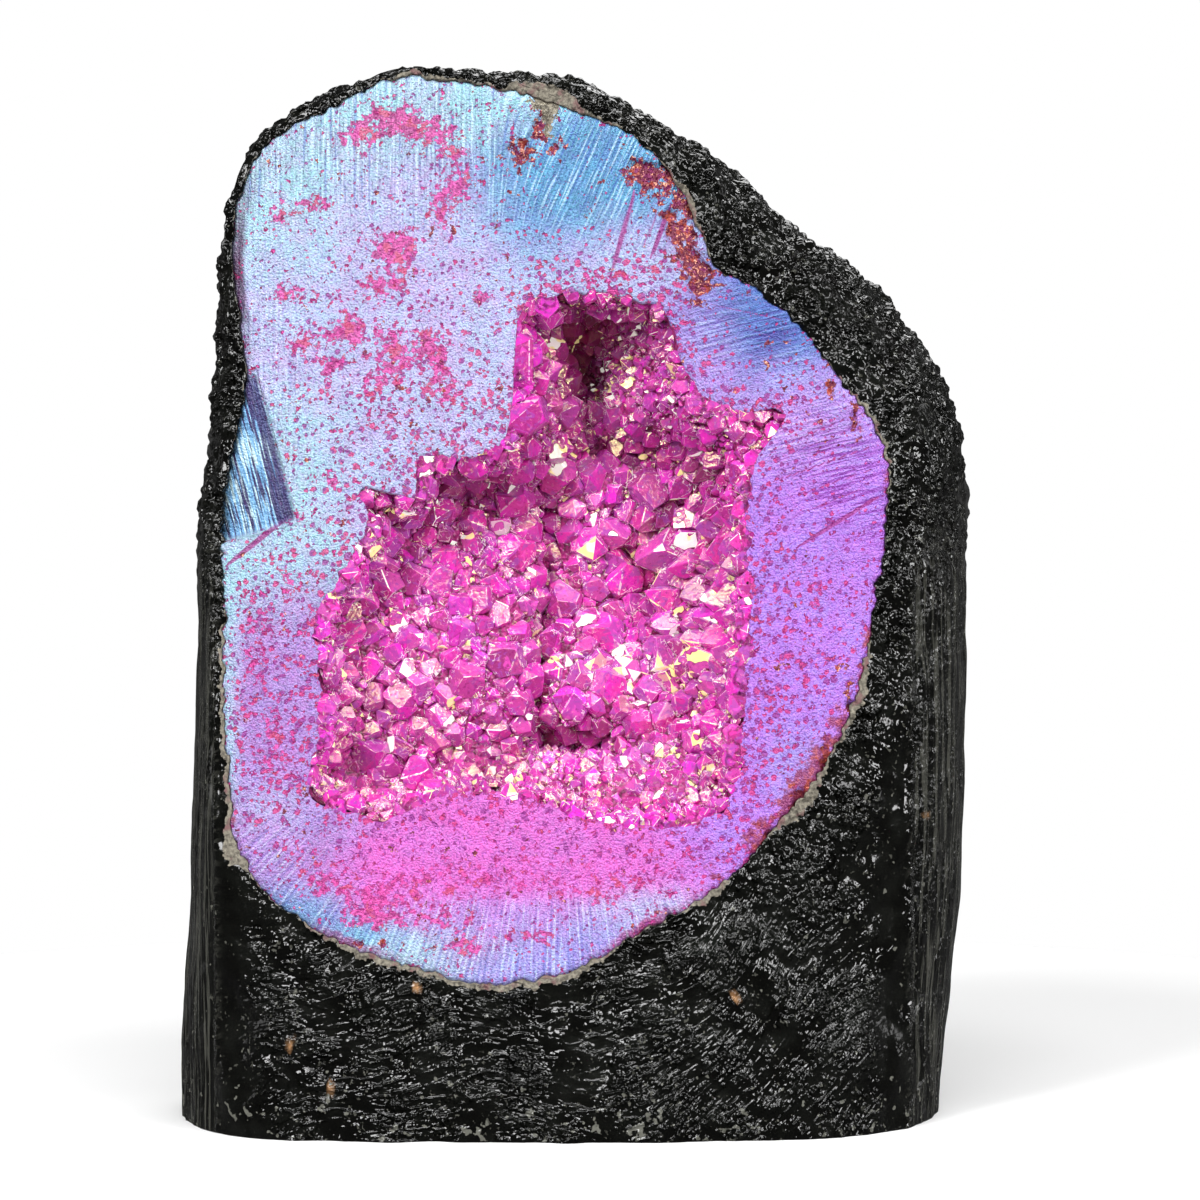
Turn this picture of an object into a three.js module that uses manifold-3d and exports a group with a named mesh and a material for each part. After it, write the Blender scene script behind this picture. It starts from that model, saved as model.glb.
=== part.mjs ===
// A cut-base geode: a quartz wall ground flat in front, a hollow in it that is lined with quartz points,
// and a cement jacket, painted black, that covers the outside and ends in a flat base.
// Millimetres, +Z up. The ground face looks along -Y and leans back. Origin: middle of the base.
//
// Face coordinates (u, w, d) are used throughout: u runs to the right, w up the ground face from the
// level of the base, and d into the stone, square to the face.
import * as THREE from "three";
import Module from "manifold-3d";

const wasm = await Module();
wasm.setup();

// ---- Driving dimensions -------------------------------------------------------------------------

const FACE_TILT = THREE.MathUtils.degToRad(12); // how far the ground face leans back
const FACE_FOOT_Y = -51.1; // where the plane of the face meets the level of the base
const FIT_GAP = 0.3; // clearance between neighbouring solids
const FACE_CENTRE = [-3.3, 97.9]; // the outlines of quartz and jacket are drawn round this point
const RIM_WIDTH = 1.1; // cement that shows round the quartz on the ground face
const JACKET_DEPTH = 84; // from the ground face to the back of the jacket
const QUARTZ_DEPTH = 74; // from the ground face to the back of the quartz
const BACK_DROP = 30; // how much lower the back's middle lies than the face's
const SQUARENESS = 2.4; // superellipse exponent of the back: 2 is an ellipsoid
const LINING = 2.2; // thickness of the crust that the points stand on

// The edge of the quartz on the ground face, as [u, w] points, anticlockwise from the right.
const QUARTZ_OUTLINE = [
  [51.7, 98.6], [52.6, 109], [52.6, 116.2], [48.6, 124.4], [44.8, 128.6], [39.6, 136], [35.2, 141],
  [29.4, 145.4], [23.4, 148.6], [21.4, 154], [18.6, 160], [14, 167], [8.6, 171.5], [-1, 175.4],
  [-10, 178.6], [-21, 180.4], [-30.2, 181.2], [-39, 177.2], [-48, 172.6], [-53.8, 167], [-56.4, 160.4],
  [-57, 152], [-56.2, 140.6], [-55.8, 130.4], [-57.8, 118.6], [-59.6, 107.4], [-59.6, 92.9],
  [-59.3, 79], [-58.8, 64.1], [-57.6, 52.6], [-53.3, 43.7], [-46.2, 37.6], [-38.3, 33.2],
  [-28.5, 29.9], [-16.3, 26.9], [-9.2, 26.9], [1.2, 29.9], [10.2, 35.2], [20.8, 41.1], [27.7, 46.6],
  [33.4, 53.2], [39.4, 60], [44, 67.8], [47.6, 76.9], [50, 89],
];

// The jacket's widest outline, seen square to the ground face. It runs on below the base, which cuts it.
const JACKET_OUTLINE = [
  [67, 98], [67.2, 107.6], [66.2, 118], [63.8, 127.6], [60, 136.6], [54, 145], [46.4, 152],
  [38.4, 157.8], [30.4, 163.8], [22.2, 169.8], [12.8, 175.6], [1.4, 179.8], [-9.8, 182.4],
  [-22, 183.4], [-34, 181.8], [-45.4, 177.4], [-54, 170.6], [-59, 160], [-60.4, 146], [-61, 132],
  [-62.8, 119.6], [-64.6, 109.6], [-64.6, 96.2], [-64.8, 82.9], [-65.6, 65.2], [-66.4, 46.2],
  [-67.4, 31.2], [-67.8, 6], [-66.6, -14], [-56, -34], [-34, -46], [0, -50], [34, -46], [52, -34],
  [60, -14], [62.2, 6.7], [64, 24.6], [65.8, 41.6], [66.8, 64.6], [66.8, 81.2],
];

// How deep behind the ground face the jacket is widest: [direction in degrees, depth].
const WIDEST_DEPTHS = [
  [0, 24], [40, 22], [70, 12], [95, 6], [140, 6], [180, 12], [205, 24], [225, 36], [245, 40],
  [270, 34], [295, 40], [315, 38], [335, 30],
];

// The mouth of the hollow on the ground face, drawn round HOLLOW_CENTRE, anticlockwise from the right.
const HOLLOW_CENTRE = [-5.2, 92.9];
const HOLLOW_OUTLINE = [
  [29, 92.9], [29, 101.2], [28.8, 109.6], [30.7, 116.2], [35, 122.9], [27.3, 123.7], [21.5, 126.2],
  [17.3, 132.1], [16.5, 138.7], [11.5, 142.6], [4, 143.9], [-3.5, 142.9], [-9.3, 140.4],
  [-10.7, 124.6], [-12.7, 117.9], [-20.2, 115.4], [-26.3, 115.2], [-27.3, 109.2], [-36, 109.9],
  [-34.7, 105.4], [-37.3, 99.6], [-41, 93.2], [-43.8, 87.9], [-42.7, 77.9], [-43, 68.7],
  [-44.7, 59.6], [-38.5, 56.2], [-31.3, 54.6], [-23.5, 58.2], [-15.2, 59.2], [-6, 57.1], [4, 54.2],
  [12.3, 53.2], [21.5, 54.6], [26.2, 58.7], [27.3, 67.9], [28.2, 76.2], [29.2, 83.7],
];

// The hollow's floor: a plain depth, and dips and swells as [u, w, reach in u, reach in w, added depth].
const FLOOR_DEPTH = 14;
const FLOOR_FORMS = [
  [12, 99, 15, 16, 10], // right-hand lobe
  [3, 133, 9, 9, 14], // chimney
  [-3, 137, 6, 5, 4], // its dark corner
  [-24, 111, 9, 5, 4], // top of the left-hand lobe
  [-26, 84, 13, 13, -3], // mound in the left-hand lobe
  [-5.5, 90, 3, 20, 5], // furrow between the lobes
  [4, 119, 14, 3, 4], // furrow under the chimney
  [0, 68.5, 8, 3.5, 8], // recess under the right-hand lobe
  [12, 60, 16, 7, -6], // shallow sill at the lower right
  [-18, 65, 9, 7, 3], // low corner at the left
];

// Quartz points that stand out by size, as [u, w, width across].
const LARGE_POINTS = [
  [-6.5, 125, 9], [12.5, 113.5, 8.5], [5, 106.5, 6.5], [17.5, 103.5, 8.5], [-1.5, 93.5, 7],
  [7.5, 96.6, 7], [4.6, 88, 6.5], [17.8, 93, 8.5], [14.3, 84, 7], [22.5, 82, 8], [5.2, 78.6, 7],
  [-2.4, 73.6, 8], [-20, 87.6, 7], [-19.2, 79.4, 7.5], [-12.3, 83, 7], [-23.6, 95.8, 7],
  [-11.2, 101.8, 8], [-24.8, 108.6, 7.5], [-10.6, 111, 7], [-35, 66.4, 7.5], [-27.4, 62, 7],
  [8, 122.4, 7], [16.6, 71.6, 7], [-30, 76, 7], [-33, 96, 7],
];
const OTHER_WIDTHS = [5.4, 7]; // widths across of the other points
const OTHER_TRIES = 700; // places tried for them
const CROWDING = 0.48; // least distance between two points, as a share of their widths' sum
const POINT_SEED = 4021;
const SHANKS = [0.2, 0.5]; // length of a point's shank, as shares of its width
const TIP_RISE = 1.1; // height of a point's cap, as a share of its radius
const TIP_SHIFT = 0.22; // how far a tip is off its middle, as a share of its radius
const STEEPEST = 1.6; // slope of the floor past which a point leans no further

// A broken facet at the left edge of the ground face: its inner edge runs between two points, and it
// falls away from that edge to the left.
const FACET_TOP = [-53.6, 129.5];
const FACET_FOOT = [-47, 105];
const FACET_SLOPE = THREE.MathUtils.degToRad(12);

// Pits at the edge of the ground face, as [u, w, half length, half width, turn in degrees].
const PITS = [
  [-10, 170.6, 4.4, 2.2, 60], [-7, 173, 2.4, 2, 0], [13.4, 161.6, 3.6, 2, 120], [18.4, 156.6, 3.2, 2, 100],
  [20.4, 149.6, 3.6, 2.4, 80], [-47.6, 141, 2.2, 1.8, 20], [45, 126.4, 2.6, 1.4, 130],
];

// The jacket's swells, as [waves per mm along x, y and z, phase, height], and its rough corners.
const SWELLS = [
  [0.017, 0.012, 0.021, 0.4, 0.5], [-0.031, 0.022, 0.017, 2.1, 0.45], [0.045, -0.03, 0.05, 4.4, 0.4],
  [0.07, 0.06, -0.055, 1.2, 0.3],
];
const ROUGHNESS = 0.6; // how far a corner may stand off the smooth form
const SMOOTH_BACK = 60; // reach from the middle of the back over which the corners grow rough
const ROUGH_SEED = 77;

const COLOURS = { jacket: 0x0b0c0b, quartz: 0xa79be6, crust: 0xc23a9c };

// ---- Small tools --------------------------------------------------------------------------------

const TURN = 2 * Math.PI;
const BACKWARD = new THREE.Vector3(0, 1, 0);
const { clamp, degToRad, lerp } = THREE.MathUtils;
const directions = (count) => Array.from({ length: count }, (_, i) => (i * TURN) / count);

// A repeatable stream of numbers from 0 to 1 (Lehmer's generator).
function stream(seed) {
  let state = seed;
  return () => {
    state = (state * 48271) % 2147483647;
    return state / 2147483647;
  };
}

// A smooth function of direction through [angle, value] knots, by cubic pieces.
function periodic(knots) {
  const sorted = [...knots].sort((a, b) => a[0] - b[0]);
  const count = sorted.length;
  const at = (i) => {
    const turns = Math.floor(i / count);
    const [angle, value] = sorted[i - turns * count];
    return [angle + turns * TURN, value];
  };
  const slope = (i) => (at(i + 1)[1] - at(i - 1)[1]) / (at(i + 1)[0] - at(i - 1)[0]);
  return (direction) => {
    let angle = direction - Math.floor(direction / TURN) * TURN;
    if (angle < sorted[0][0]) angle += TURN;
    const i = sorted.findLastIndex((knot) => knot[0] <= angle);
    const [from, start] = at(i);
    const [to, end] = at(i + 1);
    const span = to - from;
    const t = (angle - from) / span;
    const blend = t * t * (3 - 2 * t);
    const bend = t * (1 - t) * span * ((1 - t) * slope(i) - t * slope(i + 1));
    return lerp(start, end, blend) + bend;
  };
}

// The radius of a star-shaped outline about a centre, as a function of direction.
function radiusOf(outline, [cu, cw]) {
  return periodic(outline.map(([u, w]) => {
    const angle = Math.atan2(w - cw, u - cu);
    return [angle < 0 ? angle + TURN : angle, Math.hypot(u - cu, w - cw)];
  }));
}

// Face coordinates to the part's own frame.
function toSpace(u, w, d) {
  const [sin, cos] = [Math.sin(FACE_TILT), Math.cos(FACE_TILT)];
  return new THREE.Vector3(u, FACE_FOOT_Y + w * sin + d * cos, w * cos - d * sin);
}

function solidFrom(points, faces) {
  return new wasm.Manifold(new wasm.Mesh({
    numProp: 3,
    vertProperties: new Float32Array(points.flatMap((point) => point.toArray())),
    triVerts: new Uint32Array(faces),
  }));
}

// A solid through rings of points, front to back, each anticlockwise from in front, with a fan at each end.
function solidThrough(front, rings, back) {
  const count = rings[0].length;
  const points = [front, ...rings.flat(), back];
  const faces = [];
  const index = (ring, i) => 1 + ring * count + (i % count);
  for (let i = 0; i < count; i += 1) {
    faces.push(0, index(0, i), index(0, i + 1));
    for (let ring = 0; ring + 1 < rings.length; ring += 1) {
      faces.push(index(ring, i), index(ring + 1, i + 1), index(ring, i + 1));
      faces.push(index(ring, i), index(ring + 1, i), index(ring + 1, i + 1));
    }
    faces.push(points.length - 1, index(rings.length - 1, i + 1), index(rings.length - 1, i));
  }
  return solidFrom(points, faces);
}

// A three.js geometry, placed by a matrix, as a solid.
function solidOf(geometry, matrix) {
  const loose = geometry.index ? geometry.toNonIndexed() : geometry;
  const places = loose.applyMatrix4(matrix).attributes.position;
  const corners = new Map();
  const faces = [];
  for (let i = 0; i < places.count; i += 1) {
    const point = new THREE.Vector3().fromBufferAttribute(places, i);
    const key = point.toArray().map((x) => x.toFixed(3)).join();
    if (!corners.has(key)) corners.set(key, { point, index: corners.size });
    faces.push(corners.get(key).index);
  }
  return solidFrom([...corners.values()].map(({ point }) => point), faces);
}

// The outer shell of a solid's largest piece: splinters cut loose from it and sealed bubbles go.
function largestPiece(solid) {
  return solid.decompose().reduce((best, piece) => (piece.volume() > best.volume() ? piece : best));
}

// A solid as a named mesh.
function meshOf(name, solid, color, roughness, metalness) {
  const { vertProperties, triVerts } = solid.getMesh();
  const geometry = new THREE.BufferGeometry();
  geometry.setAttribute("position", new THREE.BufferAttribute(vertProperties, 3));
  geometry.setIndex(new THREE.BufferAttribute(triVerts, 1));
  geometry.computeVertexNormals();
  const material = new THREE.MeshStandardMaterial({ color, roughness, metalness, flatShading: true });
  const mesh = new THREE.Mesh(geometry, material);
  mesh.name = name;
  return mesh;
}

// ---- The jacket and the quartz wall -------------------------------------------------------------

const AROUND = 58; // corners round the jacket and the quartz wall
const FLARE_STEPS = 5; // rings from the ground face to the widest outline
const BACK_STEPS = 9; // rings from there to the middle of the back

const quartzRadius = radiusOf(QUARTZ_OUTLINE, FACE_CENTRE);
const jacketRadius = radiusOf(JACKET_OUTLINE, FACE_CENTRE);
const widestDepth = periodic(WIDEST_DEPTHS.map(([degrees, depth]) => [degToRad(degrees), depth]));

// A point at a radius from the face's centre line, which sinks as it nears the back.
function bodyPoint(direction, radius, depth, wayBack) {
  const [cu, cw] = FACE_CENTRE;
  return toSpace(
    cu + radius * Math.cos(direction),
    cw - BACK_DROP * wayBack ** 2 + radius * Math.sin(direction),
    depth,
  );
}

// The rings of a rounded back, which starts as wide as radius(direction) at depth start(direction).
function backRings(steps, radius, start, depth) {
  return Array.from({ length: steps - 1 }, (_, i) => {
    const angle = ((i + 1) / steps) * (Math.PI / 2);
    const across = Math.cos(angle) ** (2 / SQUARENESS);
    const wayBack = Math.sin(angle) ** (2 / SQUARENESS);
    return directions(AROUND).map((direction) => bodyPoint(
      direction,
      radius(direction) * across,
      lerp(start(direction), depth, wayBack),
      wayBack,
    ));
  });
}

// The rings from the ground face to the widest outline, where the jacket has turned square to the face.
function flareRings() {
  return Array.from({ length: FLARE_STEPS + 1 }, (_, step) => {
    const angle = (step / FLARE_STEPS) * (Math.PI / 2);
    return directions(AROUND).map((direction) => bodyPoint(
      direction,
      lerp(quartzRadius(direction) + RIM_WIDTH, jacketRadius(direction), Math.sin(angle)),
      widestDepth(direction) * (1 - Math.cos(angle)),
      0,
    ));
  });
}

// Height of the jacket's swells at a point, reckoned from the foot of the ground face.
function swell({ x, y, z }) {
  return SWELLS.reduce((sum, [alongX, alongY, alongZ, phase, height]) => (
    sum + height * Math.sin(TURN * (alongX * x + alongY * (y - FACE_FOOT_Y) + alongZ * z) + phase)
  ), 0);
}

// The jacket as a solid block, swollen and rough, but for its edge on the ground face and the middle
// of its back, where the corners lie close together.
function jacketBlock() {
  const rings = [...flareRings(), ...backRings(BACK_STEPS, jacketRadius, widestDepth, JACKET_DEPTH)];
  const middle = bodyPoint(0, 0, JACKET_DEPTH / 2, 0.5);
  const backMiddle = bodyPoint(0, 0, JACKET_DEPTH, 1);
  const random = stream(ROUGH_SEED);
  rings.slice(1).flat().forEach((point) => {
    const outward = point.clone().sub(middle).normalize();
    const roughness = ROUGHNESS * Math.min(1, point.distanceTo(backMiddle) / SMOOTH_BACK);
    point.addScaledVector(outward, swell(point) + roughness * (2 * random() - 1));
  });
  return solidThrough(toSpace(...FACE_CENTRE, 0), rings, backMiddle.addScaledVector(BACKWARD, swell(backMiddle)));
}

// The quartz as a solid block, grown all round by a clearance, with its front at a depth.
function quartzBlock(clearance, front) {
  const radius = (direction) => quartzRadius(direction) + clearance;
  const depth = QUARTZ_DEPTH + clearance;
  const edge = (at) => directions(AROUND).map((direction) => bodyPoint(direction, radius(direction), at, 0));
  const rings = [edge(0), ...backRings(BACK_STEPS, radius, () => 0, depth)];
  if (front < 0) rings.unshift(edge(front));
  return solidThrough(toSpace(...FACE_CENTRE, front), rings, bodyPoint(0, 0, depth, 1));
}

// What the broken facet takes off: a block whose underside starts at the facet's inner edge.
function facetCutter() {
  const reach = 40;
  const top = toSpace(...FACET_TOP, 0);
  const foot = toSpace(...FACET_FOOT, 0);
  const along = foot.clone().sub(top).normalize();
  const forward = toSpace(0, 0, -1).sub(toSpace(0, 0, 0));
  const left = along.clone().cross(forward).applyAxisAngle(along, FACET_SLOPE);
  const normal = left.clone().cross(along);
  const matrix = new THREE.Matrix4().makeBasis(along, normal, left);
  const centre = top.clone().lerp(foot, 0.5)
    .addScaledVector(left, reach / 2)
    .addScaledVector(normal, reach / 2);
  return solidOf(new THREE.BoxGeometry(top.distanceTo(foot), reach, reach), matrix.setPosition(centre));
}

function pits() {
  return wasm.Manifold.union(PITS.map(([u, w, halfLength, halfWidth, turn]) => {
    const matrix = new THREE.Matrix4().makeRotationX(-FACE_TILT)
      .multiply(new THREE.Matrix4().makeRotationY(-degToRad(turn)))
      .scale(new THREE.Vector3(halfLength, halfWidth, halfWidth))
      .setPosition(toSpace(u, w, 0));
    return solidOf(new THREE.IcosahedronGeometry(1, 0), matrix);
  }));
}

// ---- The hollow and its crust -------------------------------------------------------------------

const FLOOR_AROUND = 44; // corners round the hollow
const FLOOR_SHARES = [1, 0.95, 0.82, 0.6, 0.4, 0.2]; // its rings, as shares of the way out to its edge
const EDGE_STEEPNESS = 8; // the higher, the steeper the floor falls away from the edge

const hollowRadius = radiusOf(HOLLOW_OUTLINE, HOLLOW_CENTRE);

// Depth of the hollow's floor, which falls away steeply from its edge.
function floorDepth(u, w) {
  const [cu, cw] = HOLLOW_CENTRE;
  const share = Math.hypot(u - cu, w - cw) / hollowRadius(Math.atan2(w - cw, u - cu));
  const depth = FLOOR_FORMS.reduce((sum, [fu, fw, reachU, reachW, added]) => (
    sum + added * Math.exp(-(((u - fu) / reachU) ** 2) - ((w - fw) / reachW) ** 2)
  ), FLOOR_DEPTH);
  return depth * Math.sqrt(Math.max(0, 1 - Math.min(1, share) ** EDGE_STEEPNESS));
}

// The room of the hollow as a solid, with its walls and floor moved out by grow and its lid at depth lid.
function hollowRoom(grow, lid) {
  const [cu, cw] = HOLLOW_CENTRE;
  const place = (direction, share, depthAt) => {
    const full = hollowRadius(direction);
    const floor = floorDepth(cu + full * share * Math.cos(direction), cw + full * share * Math.sin(direction));
    const radius = full * share + grow * share ** EDGE_STEEPNESS;
    return toSpace(cu + radius * Math.cos(direction), cw + radius * Math.sin(direction), depthAt(floor));
  };
  const ring = (share, depthAt) => (
    directions(FLOOR_AROUND).map((direction) => place(direction, share, depthAt))
  );
  const justUnderLid = lid + 0.05;
  const rings = [
    ring(1, () => lid),
    ...FLOOR_SHARES.map((share) => ring(share, (floor) => Math.max(floor + grow, justUnderLid))),
  ];
  return solidThrough(toSpace(cu, cw, lid), rings, toSpace(cu, cw, floorDepth(cu, cw) + grow));
}

// Places for the quartz points: the large ones, then as many others as fit between them.
function pointPlaces() {
  const [cu, cw] = HOLLOW_CENTRE;
  const random = stream(POINT_SEED);
  const places = LARGE_POINTS.map(([u, w, width]) => ({ u, w, width, large: true }));
  for (let i = 0; i < OTHER_TRIES; i += 1) {
    const direction = random() * TURN;
    const width = lerp(...OTHER_WIDTHS, random());
    const radius = (hollowRadius(direction) - 0.4 * width) * Math.sqrt(random());
    const [u, w] = [cu + radius * Math.cos(direction), cw + radius * Math.sin(direction)];
    const clear = places.every((p) => Math.hypot(u - p.u, w - p.w) > CROWDING * (width + p.width));
    if (clear) places.push({ u, w, width, large: false });
  }
  return places.map((place) => ({ ...place, ...growth(place, random) }));
}

// How a point grows: square to the floor under it, but unevenly.
function growth({ u, w, width }, random) {
  const step = 1.5;
  const slopeU = (floorDepth(u + step, w) - floorDepth(u - step, w)) / (2 * step);
  const slopeW = (floorDepth(u, w + step) - floorDepth(u, w - step)) / (2 * step);
  const uneven = () => 0.6 * (random() - 0.5);
  const axis = new THREE.Vector3(
    clamp(slopeU, -STEEPEST, STEEPEST) + uneven(),
    clamp(slopeW, -STEEPEST, STEEPEST) + uneven(),
    -1,
  ).normalize();
  return { axis, depth: floorDepth(u, w), spin: random() * TURN, shank: width * lerp(...SHANKS, random()) };
}

// One quartz point: a six-sided cap with its tip a little off the middle, on a six-sided shank.
function quartzPoint({ u, w, depth, width, axis, spin, shank, large }) {
  const radius = 0.56 * width;
  const side = new THREE.Vector3(0, 1, 0).cross(axis).normalize();
  const up = side.clone().cross(axis);
  const foot = new THREE.Vector3(u, w, depth - 0.4 * LINING);
  const place = (height, out, direction) => toSpace(...foot.clone()
    .addScaledVector(axis, height)
    .addScaledVector(side, out * Math.cos(direction))
    .addScaledVector(up, out * Math.sin(direction)));
  const ring = (height, out) => directions(6).map((direction) => place(height, out, direction + spin));
  const tip = place(shank + TIP_RISE * radius, TIP_SHIFT * radius, 3 * spin);
  const rings = large ? [ring(shank, radius), ring(0, 0.9 * radius)] : [ring(0, 1.1 * radius)];
  return solidThrough(tip, rings, place(-0.1, 0, 0));
}

// ---- Assembly -----------------------------------------------------------------------------------

const AIR = -10; // a depth well in front of the ground face
const CRUST_FRONT = 0.2; // depth of the crust's cut edge behind the ground face

const underground = solidOf(
  new THREE.BoxGeometry(400, 400, 200),
  new THREE.Matrix4().makeTranslation(0, 0, -100),
);
const facet = facetCutter();
const jacket = jacketBlock().subtract(quartzBlock(FIT_GAP, AIR)).subtract(underground).subtract(facet);
const wall = quartzBlock(0, 0).subtract(hollowRoom(FIT_GAP, AIR)).subtract(facet).subtract(pits());

const room = hollowRoom(0, CRUST_FRONT);
const lining = room.subtract(hollowRoom(-LINING, AIR));
const points = wasm.Manifold.union(pointPlaces().map(quartzPoint));
const crust = lining.add(points).intersect(room);

const geode = new THREE.Group();
geode.add(
  meshOf("cement_jacket", largestPiece(jacket), COLOURS.jacket, 0.35, 0),
  meshOf("quartz_wall", largestPiece(wall), COLOURS.quartz, 0.35, 0.3),
  meshOf("crystal_crust", largestPiece(crust), COLOURS.crust, 0.15, 0.2),
);

export default geode;
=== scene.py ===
# An aura quartz cut-base geode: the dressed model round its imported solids, on a pale floor.
# Metres in Blender, millimetres in this file's sizes; MM turns one into the other.
#
# Face coordinates (u, w, d): u runs to the right, w up the ground face from the level of the base,
# and d into the stone, square to the face.
import math
from itertools import combinations, product

import bmesh
import bpy
import numpy as np
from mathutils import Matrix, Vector


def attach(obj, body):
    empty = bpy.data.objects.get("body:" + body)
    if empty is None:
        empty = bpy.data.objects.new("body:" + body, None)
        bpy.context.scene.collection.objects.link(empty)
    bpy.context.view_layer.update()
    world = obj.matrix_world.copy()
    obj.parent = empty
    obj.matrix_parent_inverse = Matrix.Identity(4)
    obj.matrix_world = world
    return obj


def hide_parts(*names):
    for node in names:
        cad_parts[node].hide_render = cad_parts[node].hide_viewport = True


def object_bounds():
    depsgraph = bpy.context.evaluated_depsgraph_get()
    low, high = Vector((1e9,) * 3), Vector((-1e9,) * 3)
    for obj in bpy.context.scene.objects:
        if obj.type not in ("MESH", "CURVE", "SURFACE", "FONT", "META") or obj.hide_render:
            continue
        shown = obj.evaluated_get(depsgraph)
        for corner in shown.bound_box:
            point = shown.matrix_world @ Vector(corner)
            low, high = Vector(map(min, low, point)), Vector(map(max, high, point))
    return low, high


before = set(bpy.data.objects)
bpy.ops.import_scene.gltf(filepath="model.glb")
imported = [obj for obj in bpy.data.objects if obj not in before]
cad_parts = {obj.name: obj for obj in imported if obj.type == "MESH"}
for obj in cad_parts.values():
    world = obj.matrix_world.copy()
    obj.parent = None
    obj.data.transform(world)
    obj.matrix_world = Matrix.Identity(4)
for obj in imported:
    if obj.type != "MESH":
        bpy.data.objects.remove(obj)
CAD_BOX = [list(corner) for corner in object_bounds()]

# ---- Sizes, as in the solids ---------------------------------------------------------------------

MM = 0.001
TURN = 2 * math.pi
FACE_TILT = math.radians(12)
FACE_FOOT_Y = -51.1
FIT_GAP = 0.3
FACE_CENTRE = (-3.3, 97.9)
RIM_WIDTH = 1.1
JACKET_DEPTH = 84
QUARTZ_DEPTH = 74
BACK_DROP = 30
SQUARENESS = 2.4
SWELLS = (
    (0.017, 0.012, 0.021, 0.4, 0.5), (-0.031, 0.022, 0.017, 2.1, 0.45),
    (0.045, -0.03, 0.05, 4.4, 0.4), (0.07, 0.06, -0.055, 1.2, 0.3),
)
QUARTZ_OUTLINE = (
    (51.7, 98.6), (52.6, 109), (52.6, 116.2), (48.6, 124.4), (44.8, 128.6), (39.6, 136), (35.2, 141),
    (29.4, 145.4), (23.4, 148.6), (21.4, 154), (18.6, 160), (14, 167), (8.6, 171.5), (-1, 175.4),
    (-10, 178.6), (-21, 180.4), (-30.2, 181.2), (-39, 177.2), (-48, 172.6), (-54.4, 167.2), (-57.3, 160.4),
    (-58.2, 152), (-57.2, 140.6), (-55.8, 130.4), (-57.8, 118.6), (-59.6, 107.4), (-59.6, 92.9),
    (-59.3, 79), (-58.8, 64.1), (-57.6, 52.6), (-53.3, 43.7), (-46.2, 37.6), (-38.3, 33.2),
    (-28.5, 29.9), (-16.3, 26.9), (-9.2, 26.9), (1.2, 29.9), (10.2, 35.2), (20.8, 41.1), (27.7, 46.6),
    (33.4, 53.2), (39.4, 60), (44, 67.8), (47.6, 76.9), (50, 89),
)
JACKET_OUTLINE = (
    (67, 98), (67.2, 107.6), (66.2, 118), (63.8, 127.6), (60, 136.6), (54, 145), (46.4, 152),
    (38.4, 157.8), (30.4, 163.8), (22.2, 169.8), (12.8, 175.6), (1.4, 179.8), (-9.8, 182.4),
    (-22, 183.4), (-34, 181.8), (-45.4, 177.4), (-54, 170.6), (-59, 160), (-60.4, 146), (-61, 132),
    (-62.8, 119.6), (-64.6, 109.6), (-64.6, 96.2), (-64.8, 82.9), (-65.6, 65.2), (-66.4, 46.2),
    (-67.4, 31.2), (-67.8, 6), (-66.6, -14), (-56, -34), (-34, -46), (0, -50), (34, -46), (52, -34),
    (60, -14), (62.2, 6.7), (64, 24.6), (65.8, 41.6), (66.8, 64.6), (66.8, 81.2),
)
WIDEST_DEPTHS = (
    (0, 24), (40, 22), (70, 12), (95, 6), (140, 6), (180, 12), (205, 24), (225, 36), (245, 40),
    (270, 34), (295, 40), (315, 38), (335, 30),
)
HOLLOW_CENTRE = (-5.2, 92.9)
HOLLOW_OUTLINE = (
    (29, 92.9), (29, 101.2), (28.8, 109.6), (30.7, 116.2), (35, 122.9), (27.3, 123.7), (21.5, 126.2),
    (17.3, 132.1), (16.5, 138.7), (11.5, 142.6), (4, 143.9), (-3.5, 142.9), (-9.3, 140.4),
    (-10.7, 124.6), (-12.7, 117.9), (-20.2, 115.4), (-26.3, 115.2), (-27.3, 109.2), (-36, 109.9),
    (-34.7, 105.4), (-37.3, 99.6), (-41, 93.2), (-43.8, 87.9), (-42.7, 77.9), (-43, 68.7),
    (-44.7, 59.6), (-38.5, 56.2), (-31.3, 54.6), (-23.5, 58.2), (-15.2, 59.2), (-6, 57.1), (4, 54.2),
    (12.3, 53.2), (21.5, 54.6), (26.2, 58.7), (27.3, 67.9), (28.2, 76.2), (29.2, 83.7),
)
FLOOR_DEPTH = 14
FLOOR_FORMS = (
    (12, 99, 15, 16, 10),  # right-hand lobe
    (3, 133, 9, 9, 11),  # chimney
    (-3, 137, 6, 5, 4),  # its dark corner
    (-24, 111, 9, 5, 4),  # top of the left-hand lobe
    (-26, 84, 13, 13, -3),  # mound in the left-hand lobe
    (-5.5, 90, 3, 20, 5),  # furrow between the lobes
    (4, 119, 14, 3, 4),  # furrow under the chimney
    (0, 68.5, 8, 3.5, 8),  # recess under the right-hand lobe
    (12, 60, 16, 7, -6),  # shallow sill at the lower right
    (-18, 65, 9, 7, 3),  # low corner at the left
)
EDGE_STEEPNESS = 8
FACET_TOP = (-53.6, 129.5)
FACET_FOOT = (-47, 105)
FACET_SLOPE = math.radians(12)

# ---- Colours, as sRGB values ---------------------------------------------------------------------


def rgb(red, green, blue):
    """A colour given in sRGB's 0 to 255, as linear light."""
    share = np.array([red, green, blue]) / 255
    return tuple(np.where(share <= 0.04045, share / 12.92, ((share + 0.055) / 1.055) ** 2.4))


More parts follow.
